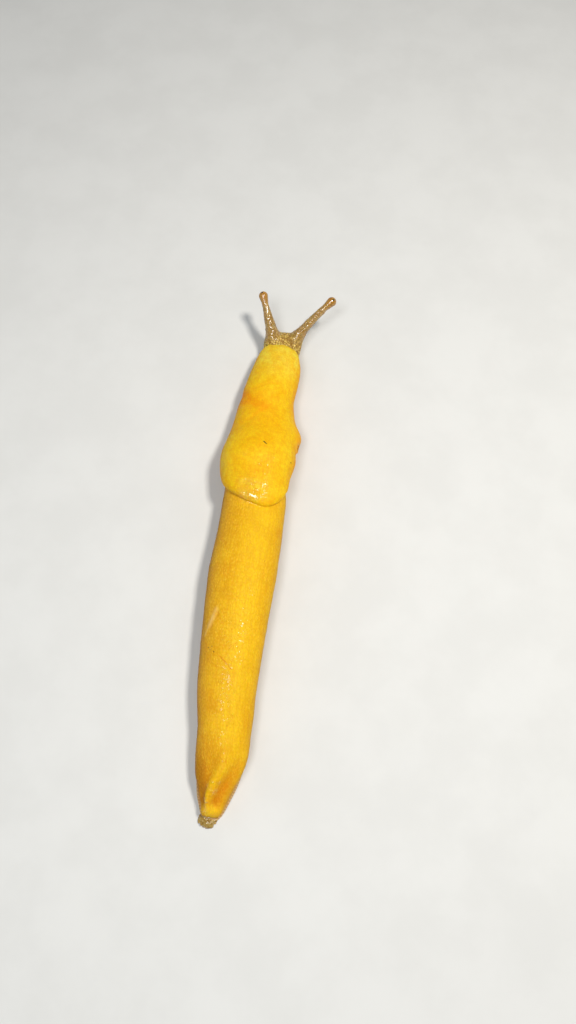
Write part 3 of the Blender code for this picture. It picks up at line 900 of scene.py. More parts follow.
@dataclass
class SkinMap:
    """Where each kind of skin lies, where light and shade are painted on it, and how wet it is. Sides is the
    girth without its sign.
    """

    stalk_skin: Span = (1.0, -0.1)          # of the distance from a tentacle
    stalk_y: Span = (88.0, 90.0)
    stalk_root: Span = (0.05, 0.3)          # of a tentacle's length
    calm_skin: Span = (0.8, 0.2)
    bulb: Span = (0.74, 0.93)
    bulb_skin: Span = (0.3, 0.0)
    mantle_edge: Span = (-0.25, 0.15)
    mantle_over: Span = (5.0, 4.2)          # of the height over the bare body
    off_stalks: Span = (0.4, 0.8)
    head_y: Span = (80.0, 88.0)
    head_sides: Span = (0.75, 0.95)
    head_sweep: float = 6.0                 # how much further back the head reaches low on its sides
    sole_z: Span = (0.35, 0.1)
    sole_sides: Span = (0.99, 1.0)
    fringe_z: Span = (2.3, 1.8)
    fringe_y: tuple[Span, Span] = ((-93.0, -91.0), (91.0, 88.0))
    # the tail's deeper orange lies in the valleys beside the keel: partly the tail's own orange, partly
    # painted shade in those hollows
    valley: Bell = (0.3, 0.17)              # right of the keel
    left_valley: Span = (-0.05, -0.17)
    valley_share: float = 0.9
    tail: Wash = Wash(1.0, ((-68.0, -82.0),))
    tail_end: Wash = Wash(0.3, ((-82.0, -87.0),))
    # a painted highlight: a lighter band right of the middle of the back and a lighter keel ridge, where the
    # light falls
    sun_line: Bell = (0.16, 0.27)
    sunny: Wash = Wash(0.75, ((-84.0, -60.0),))
    painted_light_keel: Wash = Wash(0.9, ((-72.0, -80.0),))
    # partly the skin's own duller tan, partly painted shade on the left side, away from the light
    tan: Wash = Wash(0.7, ((-86.0, -76.0),), ((-0.15, -0.55),))
    # painted shade: darker amber low on both sides, on the left flank and in the tail's left valley, lifted
    # toward the tail's end
    painted_shade_sides: Wash = Wash(0.85, (), ((0.60, 0.95),))
    painted_shade_left: tuple[Wash, ...] = (
        Wash(0.85, (), ((-0.44, -0.70),)), Wash(0.8, ((-66.0, -77.0),), ((-0.16, -0.42),)),
    )
    pale_end: Wash = Wash(0.45, ((-81.0, -87.0),))
    wet_keel: float = 0.14
    wet_keel_y: Span = (-64.0, -74.0)
    keel_pools: Span = (-76.0, -81.0)
    keel_drops: tuple[float, int, Span] = (1.1, 41, (0.1, 0.4))
    mantle_drops: tuple[float, int, Span] = (0.9, 43, (0.45, 0.7))
    drops: Patch = Patch(0.45, 33.0, 6.0, 0.03, 0.2)
    pools: tuple[Patch, ...] = (Patch(1.0, 20.2, 2.8, -0.06, 0.11), Patch(0.8, 25.0, 1.3, -0.06, 0.11))
    pool_strength: float = 1.2
    glints: tuple[Patch, ...] = (
        Patch(1.0, 21.0, 6.0, -0.04, 0.17), Patch(0.62, -44.0, 26.0, 0.03, 0.28),
        Patch(0.4, 37.0, 6.0, 0.16, 0.14),
    )
    hood_glint: Patch = Patch(0.4, 80.0, 7.0, 0.0, 0.07)
    hood_lean: Pair = (81.0, 0.009)         # y on the middle of the back, girth for each millimetre
    wetness: dict[str, float] = field(default_factory=lambda: {
        "all": 0.10, "glint": 0.9, "keel": 0.3, "keel_pool": 0.7, "stalk": 0.75, "head": 0.3,
    })
    # painted shade on the mantle: deeper orange on its sides, in its folds, at the neck crease and low on the
    # rear of its left side, partly its own orange
    shade_sides: Wash = Wash(0.75, (), ((0.36, 0.74),))
    fold_shade: Wash = Wash(0.45, ((48.0, 56.0),))
    deep_fold: float = 0.3
    neck_shade: Wash = Wash(0.28, (), ((0.35, -0.1),))
    neck_line: Triple = (58.0, 9.0, 9.0)    # y on the middle of the back, lean and width
    shield_shade: Wash = Wash(0.3, ((38.0, 28.0),), ((-0.3, -0.6),))
    # a painted sheen: paler yellow low on the left of the shield
    painted_sheen: Patch = Patch(0.6, 33.0, 7.0, -0.45, 0.15)
    hood_front: Wash = Wash(1.0, ((68.0, 84.0),))
    hood_sides: Wash = Wash(0.6, (), ((0.3, 0.6),))
    plain_flank: float = 0.7                # how far the rows of granules give way there
    plain_back: float = 0.35
    plain_line: Bell = (0.16, 0.3)
    knob: Wash = Wash(1.0, ((-85.0, -88.5),))
    knob_line: Bell = (0.0, 0.6)
    pore_hole: Span = (1.3, 0.5)
    pore_rim: Bell = (1.5, 0.7)
    pore_depth: Span = (3.0, 2.0)

    def masks(self, points: Array) -> Masks:
        """The share of each kind of skin at each point.

        Args:
            points: points on the skin.

        Returns:
            Values from 0 to 1 by name, and y and girth as they are.
        """
        x, y, z = points.T
        girth = BODY.girth(x, y, z)
        made = {"along": y, "girth": girth, **self.kinds(points, girth)}
        made |= self.back(y, girth, made)
        made |= self.mantle(y, girth)
        made |= self.wet(points, girth, made)
        a, b, c = PORE.local(x, y, z)
        reach, near = length(a, b), fade(np.abs(c), self.pore_depth)
        # the pore's hollow is painted nearly black, painted shade in the hole
        made["pore"] = fade(reach, self.pore_hole) * near
        made["pore_rim"] = bump(reach, *self.pore_rim) * near
        return made

    def kinds(self, points: Array, girth: Array) -> Masks:
        """The mantle, the head with its stalks, the sole and the fringe.

        Args:
            points, girth: the places.

        Returns:
            Their masks.
        """
        x, y, z = points.T
        share = np.abs(girth)
        away, along = np.full(len(y), FAR), np.zeros(len(y))
        for tentacle in (*HEAD.stalks.values(), *HEAD.feelers.values()):
            gap, where = tentacle.measure(x, y, z)
            along = np.where(gap < away, where, along)
            away = np.minimum(gap, away)
        stalk = fade(away, self.stalk_skin) * fade(y, self.stalk_y) * fade(along, self.stalk_root)
        mantle = fade(MANTLE.from_edge(y, girth), self.mantle_edge) * (1 - fade(stalk, self.off_stalks))
        mantle = mantle * fade(BODY.distance(x, y, z), self.mantle_over)
        head = fade(y + self.head_sweep * fade(share, self.head_sides), self.head_y)
        return {
            "mantle": mantle,
            "head": np.maximum(head, stalk) * (1 - mantle),
            "stalk": stalk,
            "stalk_share": along * fade(away, self.calm_skin),
            "amber": fade(along, self.bulb) * fade(away, self.bulb_skin),
            "under": fade(z, self.sole_z) * fade(share, self.sole_sides),
            "fringe": fade(z, self.fringe_z) * fade(y, *self.fringe_y),
        }

    def back(self, y: Array, girth: Array, made: Masks) -> Masks:
        """The tones of the body behind and beside the mantle, with the light and shade painted on it.

        Args:
            y, girth: the places.
            made: the masks of the kinds of skin.

        Returns:
            The masks of the tones.
        """
        share, line = np.abs(girth), BODY.from_keel(y, girth)
        # painted shade: deeper orange in the hollows beside the keel
        valleys = bump(line, *self.valley) + fade(line, self.left_valley)
        valleys = np.clip(1 - self.valley_share + self.valley_share * valleys, 0, 1)
        # painted highlight along the back and the keel's ridge
        sunny = self.sunny.on(y, girth) * bump(girth, *self.sun_line) * (1 - made["mantle"])
        # painted shade on the flanks
        sides = [self.painted_shade_sides.on(y, share), *(wash.on(y, girth) for wash in self.painted_shade_left)]
        flank = np.maximum.reduce(sides) * (1 - self.pale_end.on(y, girth))
        rows = bare_skin(made) * (1 - self.plain_flank * flank)
        return {
            "tail": np.clip(self.tail.on(y, girth) * valleys + self.tail_end.on(y, girth), 0, 1),
            "sunny": np.maximum(sunny, self.painted_light_keel.on(y, girth) * bump(line, 0.0, BODY.keel_width)),
            "tan": self.tan.on(y, girth),
            "flank": flank,
            "rows": rows * (1 - self.plain_back * bump(girth, *self.plain_line)),
            "knob": self.knob.on(y, girth) * bump(girth, *self.knob_line),
        }

    def mantle(self, y: Array, girth: Array) -> Masks:
        """The deeper orange and the paler yellow of the mantle: painted shade on its sides, in its folds and
        at the neck, partly its own orange, and a pale hood front with a painted sheen.

        Args:
            y, girth: the places.

        Returns:
            The masks of both.
        """
        share, painted_sheen = np.abs(girth), self.painted_sheen.on(y, girth)
        at, lean, width = self.neck_line
        shade = self.shade_sides.on(y, share) + self.shield_shade.on(y, girth)
        shade += self.fold_shade.on(y, girth) * np.clip(MANTLE.folds(y, girth) / self.deep_fold, 0, 1)
        shade += self.neck_shade.on(y, girth) * bump(y, at - lean * girth, width)
        # the hood's paler front, with the painted sheen laid in the same mask
        front = self.hood_front.on(y, girth) * (1 - self.hood_sides.on(y, share))
        return {"mantle_shade": np.clip(shade, 0, 1) * (1 - painted_sheen), "hood_front": np.maximum(front, painted_sheen)}

    def wet(self, points: Array, girth: Array, made: Masks) -> Masks:
        """How wet the skin is, and where slime lies in puddles and drops.

        Args:
            points, girth: the places.
            made: the masks of the kinds of skin.

        Returns:
            The masks of both.
        """
        y, share_of = points[:, 1], self.wetness
        spots, drops = (
            fade(swell_noise(points, size, seed), span)
            for size, seed, span in (self.keel_drops, self.mantle_drops)
        )
        keel = bump(BODY.from_keel(y, girth), 0.0, self.wet_keel) * fade(y, self.wet_keel_y)
        keel_pool = keel * spots * fade(y, self.keel_pools)
        pool = sum(patch.on(y, girth) for patch in self.pools) + keel_pool + drops * self.drops.on(y, girth)
        at, lean = self.hood_lean
        glint = sum(patch.on(y, girth) for patch in self.glints)
        glint = glint + self.hood_glint.on(y, girth - (y - at) * lean)
        glint = np.maximum(glint, share_of["keel"] * keel + share_of["keel_pool"] * keel_pool)
        wet = share_of["all"] + share_of["glint"] * glint
        wet = wet + share_of["stalk"] * made["stalk"] + share_of["head"] * made["head"]
        puddle = np.maximum(self.pool_strength * pool, made["stalk"])
        return {"puddle": np.clip(puddle, 0, 1), "wet": np.clip(wet, 0, 1)}


@dataclass
class Relief:
    """The fine relief of the skin: its furrows, wrinkles and stripes."""

    skew: float = 9.0            # how far back the rows sweep down the flanks
    skew_from: float = 0.35
    tubercle: Cells = Cells((3.0, 1.4), 0.34, 11)       # behind the mantle
    tubercle_depth: float = 0.075
    tubercle_moved: float = 3.0
    wander: Table = ((0.25, 5.0, 3), (0.25, 5.0, 4))    # of the rows: its share of a cell, size and seed
    streak: Pair = (4.2, 1.1)    # length and width
    streak_furrow: float = 0.30
    long_shares: Pair = (0.6, 0.55)         # of the streaks and the tubercles
    small_cell: Cells = Cells((1.25, 0.76), 0.4, 12)
    small_depth: float = 0.045
    mantle_grain: Cells = Cells(0.95, 0.5, 13)
    mantle_depth: float = 0.06
    head_grain: Cells = Cells(1.0, 0.42, 14)
    head_depth: float = 0.14
    stalk_grain: Cells = Cells(0.62, 0.45, 15)
    stalk_depth: float = 0.045
    calm_tip: float = 0.7
    stripe: float = 0.95         # from one line of the foot's fringe to the next
    stripe_depth: float = 0.07
    stripe_wander: Table = ((0.5, 3.0, 5),)
    scar: Table = (
        (-6.3, -22.8, 16.6), (-6.9, -24.9, 16.2), (-7.5, -27.1, 15.6), (-8.3, -29.4, 15.0),
        (-8.6, -31.7, 14.3),
    )
    scar_height: float = 0.17
    scar_width: float = 0.8
    scar_wander: Table = ((0.5, 1.6, 21),)
    scar_end: Wash = Wash(0.3, ((-26.0, -31.0),))
    scar_side: Triple = (1.15, -0.3, 0.4)   # where the crease beside it lies
    side_depth: float = 0.2
    side_width: float = 0.45
    side_shade: float = 0.4
    side_wander: Table = ((0.4, 1.3, 22),)
    wrinkles: Table = ((0.17, 0.8, 24), (0.24, 2.0, 27))        # under the puddles of slime
    ripples: Table = ((0.15, 1.2, 25), (0.13, 0.75, 26))        # of the stalks
    swells: Table = ((0.16, 8.0, 6), (0.05, 3.1, 7))            # of all the skin
    swells_z: Span = (1.5, 4.0)
    calm: float = 0.85           # how much less the head and the fringe swell
    # how much the colour darkens in each kind of furrow, painted shade in the recesses
    shades: dict[str, float] = field(default_factory=lambda: {
        "long": 0.8, "small": 0.35, "mantle": 0.45, "stalk": 0.6,
    })

    def from_scar(self, points: Array) -> Array:
        """How far each point is from the healed crease on the left flank."""
        return from_tube(np.array(self.scar), np.zeros(len(self.scar)), *points.T)[0]

    def furrows(self, points: Array, made: Masks) -> Masks:
        """The furrows of each kind of skin.

        Args:
            points: points on the skin.
            made: the masks of the skin.

        Returns:
            Values from 0 on the grains to 1 in the furrows, by kind.
        """
        y, around = made["along"], made["girth"] * BODY.girth_length
        skew = self.skew * np.clip(np.abs(made["girth"]) - self.skew_from, 0, None)
        lay = np.stack([y - skew, around], axis=1)
        moved = np.stack([swells((row,), points) for row in self.wander], axis=1)
        column = np.floor(around / self.tubercle.size[1] + moved[:, 1])
        moved[:, 0] += self.tubercle_moved * scatter(column, seed=31)
        tubercles = self.tubercle.furrows(lay, moved)
        lie = np.column_stack([lay / self.streak, np.full(len(y), 0.5)])
        streaks = 1 - fade(np.abs(swell_noise(lie, 1.0, 16)), (0.0, self.streak_furrow))
        head, stalk = np.zeros(len(y)), np.zeros(len(y))
        front = y > HEAD.starts
        head[front] = self.head_grain.furrows(points[front])
        stalk[front] = self.stalk_grain.furrows(points[front])
        return {
            "long": np.maximum(self.long_shares[0] * streaks, self.long_shares[1] * tubercles),
            "small": self.small_cell.furrows(lay), "mantle": self.mantle_grain.furrows(points),
            "head": head, "stalk": stalk,
        }

    def apply(self, points: Array, made: Masks) -> Array:
        """Carves the skin, and adds the furrows, the stripes and the scar to the masks.

        Args:
            points: points on the smooth skin.
            made: the masks of the skin.

        Returns:
            How far each point moves outward.
        """
        cut = self.furrows(points, made)
        bare = bare_skin(made)
        on_head, on_stalk = made["head"] * (1 - made["stalk"]), made["head"] * made["stalk"]
        turns = points[:, 1] / self.stripe + swells(self.stripe_wander, points)
        stripes = 0.5 + 0.5 * np.cos(2 * np.pi * turns)
        out = -bare * (self.tubercle_depth * cut["long"] + self.small_depth * cut["small"])
        out -= made["mantle"] * self.mantle_depth * cut["mantle"] + on_head * self.head_depth * cut["head"]
        out -= on_stalk * self.stalk_depth * cut["stalk"] * (1 - self.calm_tip * made["stalk_share"])
        out -= made["fringe"] * (1 - made["under"]) * self.stripe_depth * stripes
        out += made["puddle"] * (1 - made["stalk"]) * swells(self.wrinkles, points)
        out += made["stalk"] * (1 - made["amber"]) * swells(self.ripples, points)
        calm = 1 - self.calm * np.maximum(made["head"], made["fringe"])
        out += calm * swells(self.swells, points) * fade(points[:, 2], self.swells_z)
        scar = self.from_scar(points) + swells(self.scar_wander, points) + self.scar_end.on(points[:, 1], 0.0)
        beside = self.from_scar(points - self.scar_side) + swells(self.side_wander, points)
        made["scar"] = bump(scar, 0.0, self.scar_width)
        out += self.scar_height * made["scar"] - self.side_depth * bump(beside, 0.0, self.side_width)
        # the furrow mask darkens the colour: painted shade in the furrows and in the crease beside the scar
        seen = {name: share * cut[name] for name, share in self.shades.items()}
        furrow = bare * (seen["long"] + seen["small"]) + made["mantle"] * seen["mantle"]
        furrow = np.clip(furrow + on_head * cut["head"] + on_stalk * seen["stalk"], 0, 1)
        made["furrow"] = np.clip(furrow + bump(beside, 0.0, self.side_shade), 0, 1)
        made["stripes"] = stripes * made["fringe"]
        return out


@dataclass
class Skin:
    """The one skin over all the flesh."""

    low: Triple = (-18.2, -93.4, -0.55)
    high: Triple = (20.6, 112.6, 23.4)
    fine: float = 0.26           # across and up
    trunk_step: float = 0.31     # along the trunk
    head_step: float = 0.24      # along the head
    rounds: int = 2              # of drawing the net onto the surface
    most: float = 0.12           # that a point moves in one round
    least_slope: float = 0.3
    slope_step: float = 0.03
    normal_step: float = 0.12    # wider, so that the relief rises from a smooth skin
    skin_map: SkinMap = field(default_factory=SkinMap)
    relief: Relief = field(default_factory=Relief)
    flesh: tuple[str, ...] = (
        "head", "neck", "trunk_front", "trunk_mid", "trunk_rear", "tail", "foot_front", "foot_mid",
        "foot_rear", "foot_tail", "mantle_hood", "mantle_shield", "pore_lip", "mouth_lobe_left",
        "mouth_lobe_right", "eye_stalk_left", "eye_stalk_right", "feeler_left", "feeler_right",
    )

    def away(self, x: Array, y: Array, z: Array) -> Array:
        """The distance from the whole animal.

        Args:
            x, y, z: the places.

        Returns:
            The distances, negative inside.
        """
        girth = BODY.girth(x, y, z)
        away = BODY.distance(x, y, z) - MANTLE.height(y, girth) - BODY.keel(y, girth)
        away = joined(away, FOOT.distance(x, y, z), FOOT.fillet)
        if np.min(y) < PORE.y + PORE.reach and np.max(y) > PORE.y - PORE.reach:
            away = PORE.apply(away, x, y, z)
        return HEAD.apply(away, x, y, z) if np.max(y) > HEAD.starts else away

    def shape(self) -> tuple[Array, list]:
        """The animal's smooth form.

        Returns:
            Its points and faces.
        """
        ys = np.concatenate([
            np.arange(self.low[1], HEAD.starts, self.trunk_step),
            np.arange(HEAD.starts, self.high[1], self.head_step),
        ])
        xs, zs = (np.arange(self.low[k], self.high[k], self.fine) for k in (0, 2))
        points, faces = SurfaceNet(xs, ys, zs).mesh(self.away)
        for _ in range(self.rounds):
            for some in in_parts(points):
                slope = gradient(self.away, points[some], self.slope_step)
                size = np.linalg.norm(slope, axis=1)
                step = self.away(*points[some].T) / np.maximum(size, self.least_slope)
                step = np.clip(step, -self.most, self.most)
                points[some] -= slope / np.maximum(size, TINY)[:, None] * step[:, None]
        points[:, 2] = np.maximum(points[:, 2], 0.0)
        return points, faces

    def build(self) -> bpy.types.Object:
        """Shapes the skin, carves its relief and keeps its masks on the mesh.

        Returns:
            The skin.
        """
        points, faces = self.shape()
        carved, parts = points.copy(), []
        for some in in_parts(points):
            slope = gradient(self.away, points[some], self.normal_step)
            masks = self.skin_map.masks(points[some])
            out = self.relief.apply(points[some], masks)
            size = np.maximum(np.linalg.norm(slope, axis=1), TINY)
            carved[some] += slope / size[:, None] * out[:, None]
            parts.append(masks)
        carved[:, 2] = np.maximum(carved[:, 2], 0.0)
        thing = piece("skin", carved, faces, "golden_skin", *self.flesh)
        for name in parts[0]:
            values = np.concatenate([part[name] for part in parts])
            layer = thing.data.attributes.new(name, "FLOAT", "POINT")
            layer.data.foreach_set("value", values.astype(np.float32))
        return thing


# Finishes


class Socket(Enum):
    """The kinds of socket that a node group takes."""

    NUMBER = "NodeSocketFloat"
    PLACE = "NodeSocketVector"


Wire = bpy.types.NodeSocket
Sockets = bpy.types.bpy_prop_collection


@dataclass
class Board:
    """A node tree that is being wired."""

    tree: bpy.types.NodeTree

    def add(self, kind: str, **settings: object) -> bpy.types.Node:
        """Adds a node.

        Args:
            kind: Blender's name for it.
            settings: the node's own settings.

        Returns:
            The node.
        """
        node = self.tree.nodes.new(kind)
        for name, value in settings.items():
            setattr(node, name, value)
        return node

    def feed(self, node: bpy.types.Node, **values: object) -> bpy.types.Node:
        """Sets or links a node's inputs.

        Args:
            node: the node.
            values: by the input's name with _ for a space, or by its number after a _.

        Returns:
            The node.
        """
        for name, value in values.items():
            socket = node.inputs[int(name[1:])] if name[0] == "_" else node.inputs[name.replace("_", " ")]
            if isinstance(value, Wire):
                self.tree.links.new(value, socket)
            else:
                socket.default_value = (*value, 1.0) if socket.type == "RGBA" else value
        return node

    def math(self, operation: str, a: object, b: object = 0.0, c: object = 0.0, clamp: bool = False) -> Wire:
        """The outcome of one sum."""
        node = self.add("ShaderNodeMath", operation=operation, use_clamp=clamp)
        return self.feed(node, _0=a, _1=b, _2=c).outputs[0]

    def times(self, a: object, b: object) -> Wire:
        """Two values multiplied."""
        return self.math("MULTIPLY", a, b)

    def total(self, *parts: tuple[Wire, float]) -> Wire:
        """Values, each times its weight, added up.

        Args:
            parts: the values and their weights.

        Returns:
            The total.
        """
        total = self.times(*parts[0])
        for value, weight in parts[1:]:
            total = self.math("MULTIPLY_ADD", value, weight, total)
        return total

    def mix(self, share: object, a: object, b: object, blend: str = "MIX") -> Wire:
        """Two colours mixed."""
        node = self.add("ShaderNodeMix", data_type="RGBA", blend_type=blend)
        return self.feed(node, _0=share, _6=a, _7=b).outputs[2]

    def between(self, value: Wire, low: float, high: float, to: Pair = (0.0, 1.0)) -> Wire:
        """The value, brought smoothly from one range into another."""
        node = self.add("ShaderNodeMapRange", interpolation_type="SMOOTHSTEP")
        return self.feed(node, _0=value, _1=low, _2=high, _3=to[0], _4=to[1]).outputs[0]

    def mask(self, name: str) -> Wire:
        """One of the masks that the mesh carries."""
        return self.add("ShaderNodeAttribute", attribute_name=name).outputs["Fac"]

    def noise(self, place: Wire, size: float, detail: float = 3.0, rough: float = 0.55) -> Wire:
        """Cloudy noise, with clouds about size millimetres across."""
        values = {"Vector": place, "Scale": 1 / (size * MM), "Detail": detail, "Roughness": rough}
        return self.feed(self.add("ShaderNodeTexNoise"), **values).outputs["Fac"]

    def chance(self, cells: bpy.types.Node) -> Sockets:
        """Three even draws for each cell of a pattern."""
        return self.feed(self.add("ShaderNodeSeparateColor"), _0=cells.outputs["Color"]).outputs

    def use(self, group: bpy.types.NodeTree, **values: object) -> Sockets:
        """Places a node group with its own values."""
        return self.feed(self.add("ShaderNodeGroup", node_tree=group), **values).outputs


def new_group(name: str, takes: dict[str, Socket], *gives: str) -> tuple[Board, Sockets, bpy.types.Node]:
    """Starts a shader node group.

    Args:
        name: the group's name.
        takes: its inputs.
        gives: its outputs, all of them numbers.

    Returns:
        The board, the inputs inside the group, and the node that takes its outputs.
    """
    tree = bpy.data.node_groups.new(name, "ShaderNodeTree")
    for word, kind in takes.items():
        tree.interface.new_socket(word, in_out="INPUT", socket_type=kind.value)
    for word in gives:
        tree.interface.new_socket(word, in_out="OUTPUT", socket_type=Socket.NUMBER.value)
    board = Board(tree)
    return board, board.add("NodeGroupInput").outputs, board.add("NodeGroupOutput")


def mottle_group() -> bpy.types.NodeTree:
    """Uneven pigment: soft clouds, and fine grains within them.

    Returns:
        The group.
    """
    kinds = {"Place": Socket.PLACE, "Size": Socket.NUMBER}
    board, takes, gives = new_group("uneven_pigment", kinds, "Clouds", "Grains")
    scale = board.math("DIVIDE", 1 / MM, takes["Size"])
    clouds = board.add("ShaderNodeTexNoise")
    board.feed(clouds, Vector=takes["Place"], Scale=scale, Detail=4.0, Roughness=0.6)
    grains = board.add("ShaderNodeTexNoise")
    board.feed(grains, Vector=takes["Place"], Scale=board.times(scale, 9.0), Detail=2.0, Roughness=0.5)
    board.feed(
        gives, Clouds=board.between(clouds.outputs["Fac"], 0.34, 0.66),
        Grains=board.between(grains.outputs["Fac"], 0.3, 0.7),
    )
    return board.tree


def granule_group() -> bpy.types.NodeTree:
    """The height of the skin's own granules.

    Returns:
        The group.
    """
    kinds = {"Place": Socket.PLACE, "Size": Socket.NUMBER}
    board, takes, gives = new_group("skin_granules", kinds, "Height")
    scale = board.math("DIVIDE", 1 / MM, takes["Size"])
    warp = board.feed(board.add("ShaderNodeTexNoise"), Vector=takes["Place"], Scale=scale, Detail=1.0)
    nudge = board.add("ShaderNodeVectorMath", operation="SCALE")
    board.feed(nudge, _0=warp.outputs["Color"], Scale=board.times(takes["Size"], 0.6 * MM))
    moved = board.add("ShaderNodeVectorMath", operation="ADD")
    board.feed(moved, _0=takes["Place"], _1=nudge.outputs[0])
    cells = board.add("ShaderNodeTexVoronoi", feature="DISTANCE_TO_EDGE")
    board.feed(cells, Vector=moved.outputs[0], Scale=scale)
    board.feed(gives, Height=board.between(cells.outputs["Distance"], 0.0, 0.32))
    return board.tree


def bead(board: Board, place: Wire, pitch: float, wet: Wire, most: float) -> Wire:
    """Round beads of many sizes on a wet surface.

    Args:
        board: the board.
        place: the place on the surface.
        pitch: the way from one bead to the next, in millimetres.
        wet: how wet the surface is, which makes the beads larger.
        most: the reach of the largest ones.

    Returns:
        1 on the beads and 0 between them.
    """
    cells = board.add("ShaderNodeTexVoronoi", feature="F1")
    board.feed(cells, Vector=place, Scale=1 / (pitch * MM), Randomness=0.9)
    first, second, _ = board.chance(cells)
    reach = board.times(board.times(board.times(first, second), most), wet)
    return board.between(board.math("SUBTRACT", reach, cells.outputs["Distance"]), -0.10, 0.10)


def slime_group() -> bpy.types.NodeTree:
    """A film of slime: its ripples, and beads where it lies thick.

    Returns:
        The group.
    """
    kinds = {"Place": Socket.PLACE, "Wet": Socket.NUMBER, "Pool": Socket.NUMBER}
    board, takes, gives = new_group("slime_film", kinds, "Height", "Roughness", "Film")
    place, wet, pool = (takes[name] for name in kinds)
    beads = board.math("MAXIMUM", bead(board, place, 0.8, wet, 1.5), bead(board, place, 1.9, wet, 1.1))
    patchy = board.between(board.noise(place, 2.6, 3.0, 0.6), 0.35, 0.65, (-0.06, 0.06))
    dry = board.between(wet, 0.0, 1.0, (0.52, 0.36))
    rough = board.total((dry, 1.0), (beads, -0.24), (pool, -0.2), (patchy, 1.0))
    film = board.times(beads, board.between(wet, 0.0, 0.7, (0.06, 0.17)))
    board.feed(
        gives, Height=board.total((board.noise(place, 0.9, 3.0, 0.6), 0.5), (beads, 1.5)),
        Roughness=board.math("MAXIMUM", rough, 0.1), Film=board.math("MAXIMUM", film, pool),
    )
    return board.tree


def granule_rows_group() -> bpy.types.NodeTree:
    """Pale granules in rows along the body, from places along and around it in millimetres.

    Returns:
        The group.
    """
    kinds = {name: Socket.NUMBER for name in ("Along", "Around", "Length", "Width")}
    board, takes, gives = new_group("granule_rows", kinds, "Dots")
    along = board.math("DIVIDE", takes["Along"], takes["Length"])
    around = board.math("DIVIDE", takes["Around"], takes["Width"])
    place = board.feed(board.add("ShaderNodeCombineXYZ"), X=along, Y=around).outputs[0]
    stray = board.add("ShaderNodeTexNoise", noise_dimensions="2D")
    board.feed(stray, Vector=place, Scale=0.45, Detail=1.0)
    moved = board.add("ShaderNodeVectorMath", operation="ADD")
    board.feed(moved, _0=place, _1=stray.outputs["Color"])
    cells = board.add("ShaderNodeTexVoronoi", feature="F1", voronoi_dimensions="2D")
    board.feed(cells, Vector=moved.outputs[0], Scale=1.0, Randomness=1.0)
    dot = board.math("SUBTRACT", 1.0, board.between(cells.outputs["Distance"], 0.12, 0.52))
    strength = board.between(board.chance(cells)[0], 0.0, 1.0, (0.35, 1.0))
    board.feed(gives, Dots=board.times(dot, strength))
    return board.tree


def fleck_group() -> bpy.types.NodeTree:
    """One small fleck, seen from above.

    Returns:
        The group, which makes its mask from its place, turn and size.
    """
    kinds = {name: Socket.PLACE for name in ("Place", "Centre", "Turn", "Size")}
    board, takes, gives = new_group("small_fleck", kinds, "Mask")
    place, centre, turn, size = (takes[name] for name in kinds)
    into = board.add("ShaderNodeMapping", vector_type="TEXTURE")
    board.feed(into, Vector=place, Location=centre, Rotation=turn, Scale=size)
    reach = board.feed(board.add("ShaderNodeVectorMath", operation="LENGTH"), _0=into.outputs["Vector"])
    frayed = board.between(board.noise(place, 0.3), 0.3, 0.7, (-0.25, 0.25))
    reach = board.math("ADD", reach.outputs["Value"], frayed)
    board.feed(gives, Mask=board.math("SUBTRACT", 1.0, board.between(reach, 0.65, 1.15)))
    return board.tree


@dataclass(frozen=True)
class Effects:
    """The node groups that the finishes share."""

    mottle: bpy.types.NodeTree
    granules: bpy.types.NodeTree
    slime: bpy.types.NodeTree
    fleck: bpy.types.NodeTree
    rows: bpy.types.NodeTree


@dataclass
class Finish:
    """A material that is being made, with its board, its shader and the place on the object."""

    name: str

    def __post_init__(self) -> None:
        """Starts the material."""
        self.material = bpy.data.materials.new(self.name)
        self.material.use_nodes = True
        self.board = Board(self.material.node_tree)
        self.shader = self.material.node_tree.nodes["Principled BSDF"]
        self.place = self.board.add("ShaderNodeTexCoord").outputs["Object"]

    def relief(self, height: Wire, depth: float, strength: float = 1.0) -> Wire:
        """The normal of a fine relief that is depth millimetres deep."""
        node = self.board.add("ShaderNodeBump")
        return self.board.feed(node, Strength=strength, Distance=depth * MM, Height=height).outputs["Normal"]


@dataclass(frozen=True)
class Fleck:
    """A small dark or orange mark in the skin, seen from above. Sizes are half its length and width."""

    x: float
    y: float
    turn: float
    length: float
    width: float
    strength: float
    colour: Triple
    z: float = 15.0
    height: float = 50.0         # so that the mark reaches through the whole body

    def mask(self, board: Board, effects: Effects, place: Wire) -> Wire:
        """How much of the mark lies at a place.

        Args:
            board: the board.
            effects: the shared node groups.
            place: the place.

        Returns:
            Its mask.
        """
        centre = (self.x * MM, self.y * MM, self.z * MM)
        size = (self.length * MM, self.width * MM, self.height * MM)
        turn = (0.0, 0.0, math.radians(self.turn))
        mark = board.use(effects.fleck, Place=place, Centre=centre, Turn=turn, Size=size)["Mask"]
        return board.times(mark, self.strength)


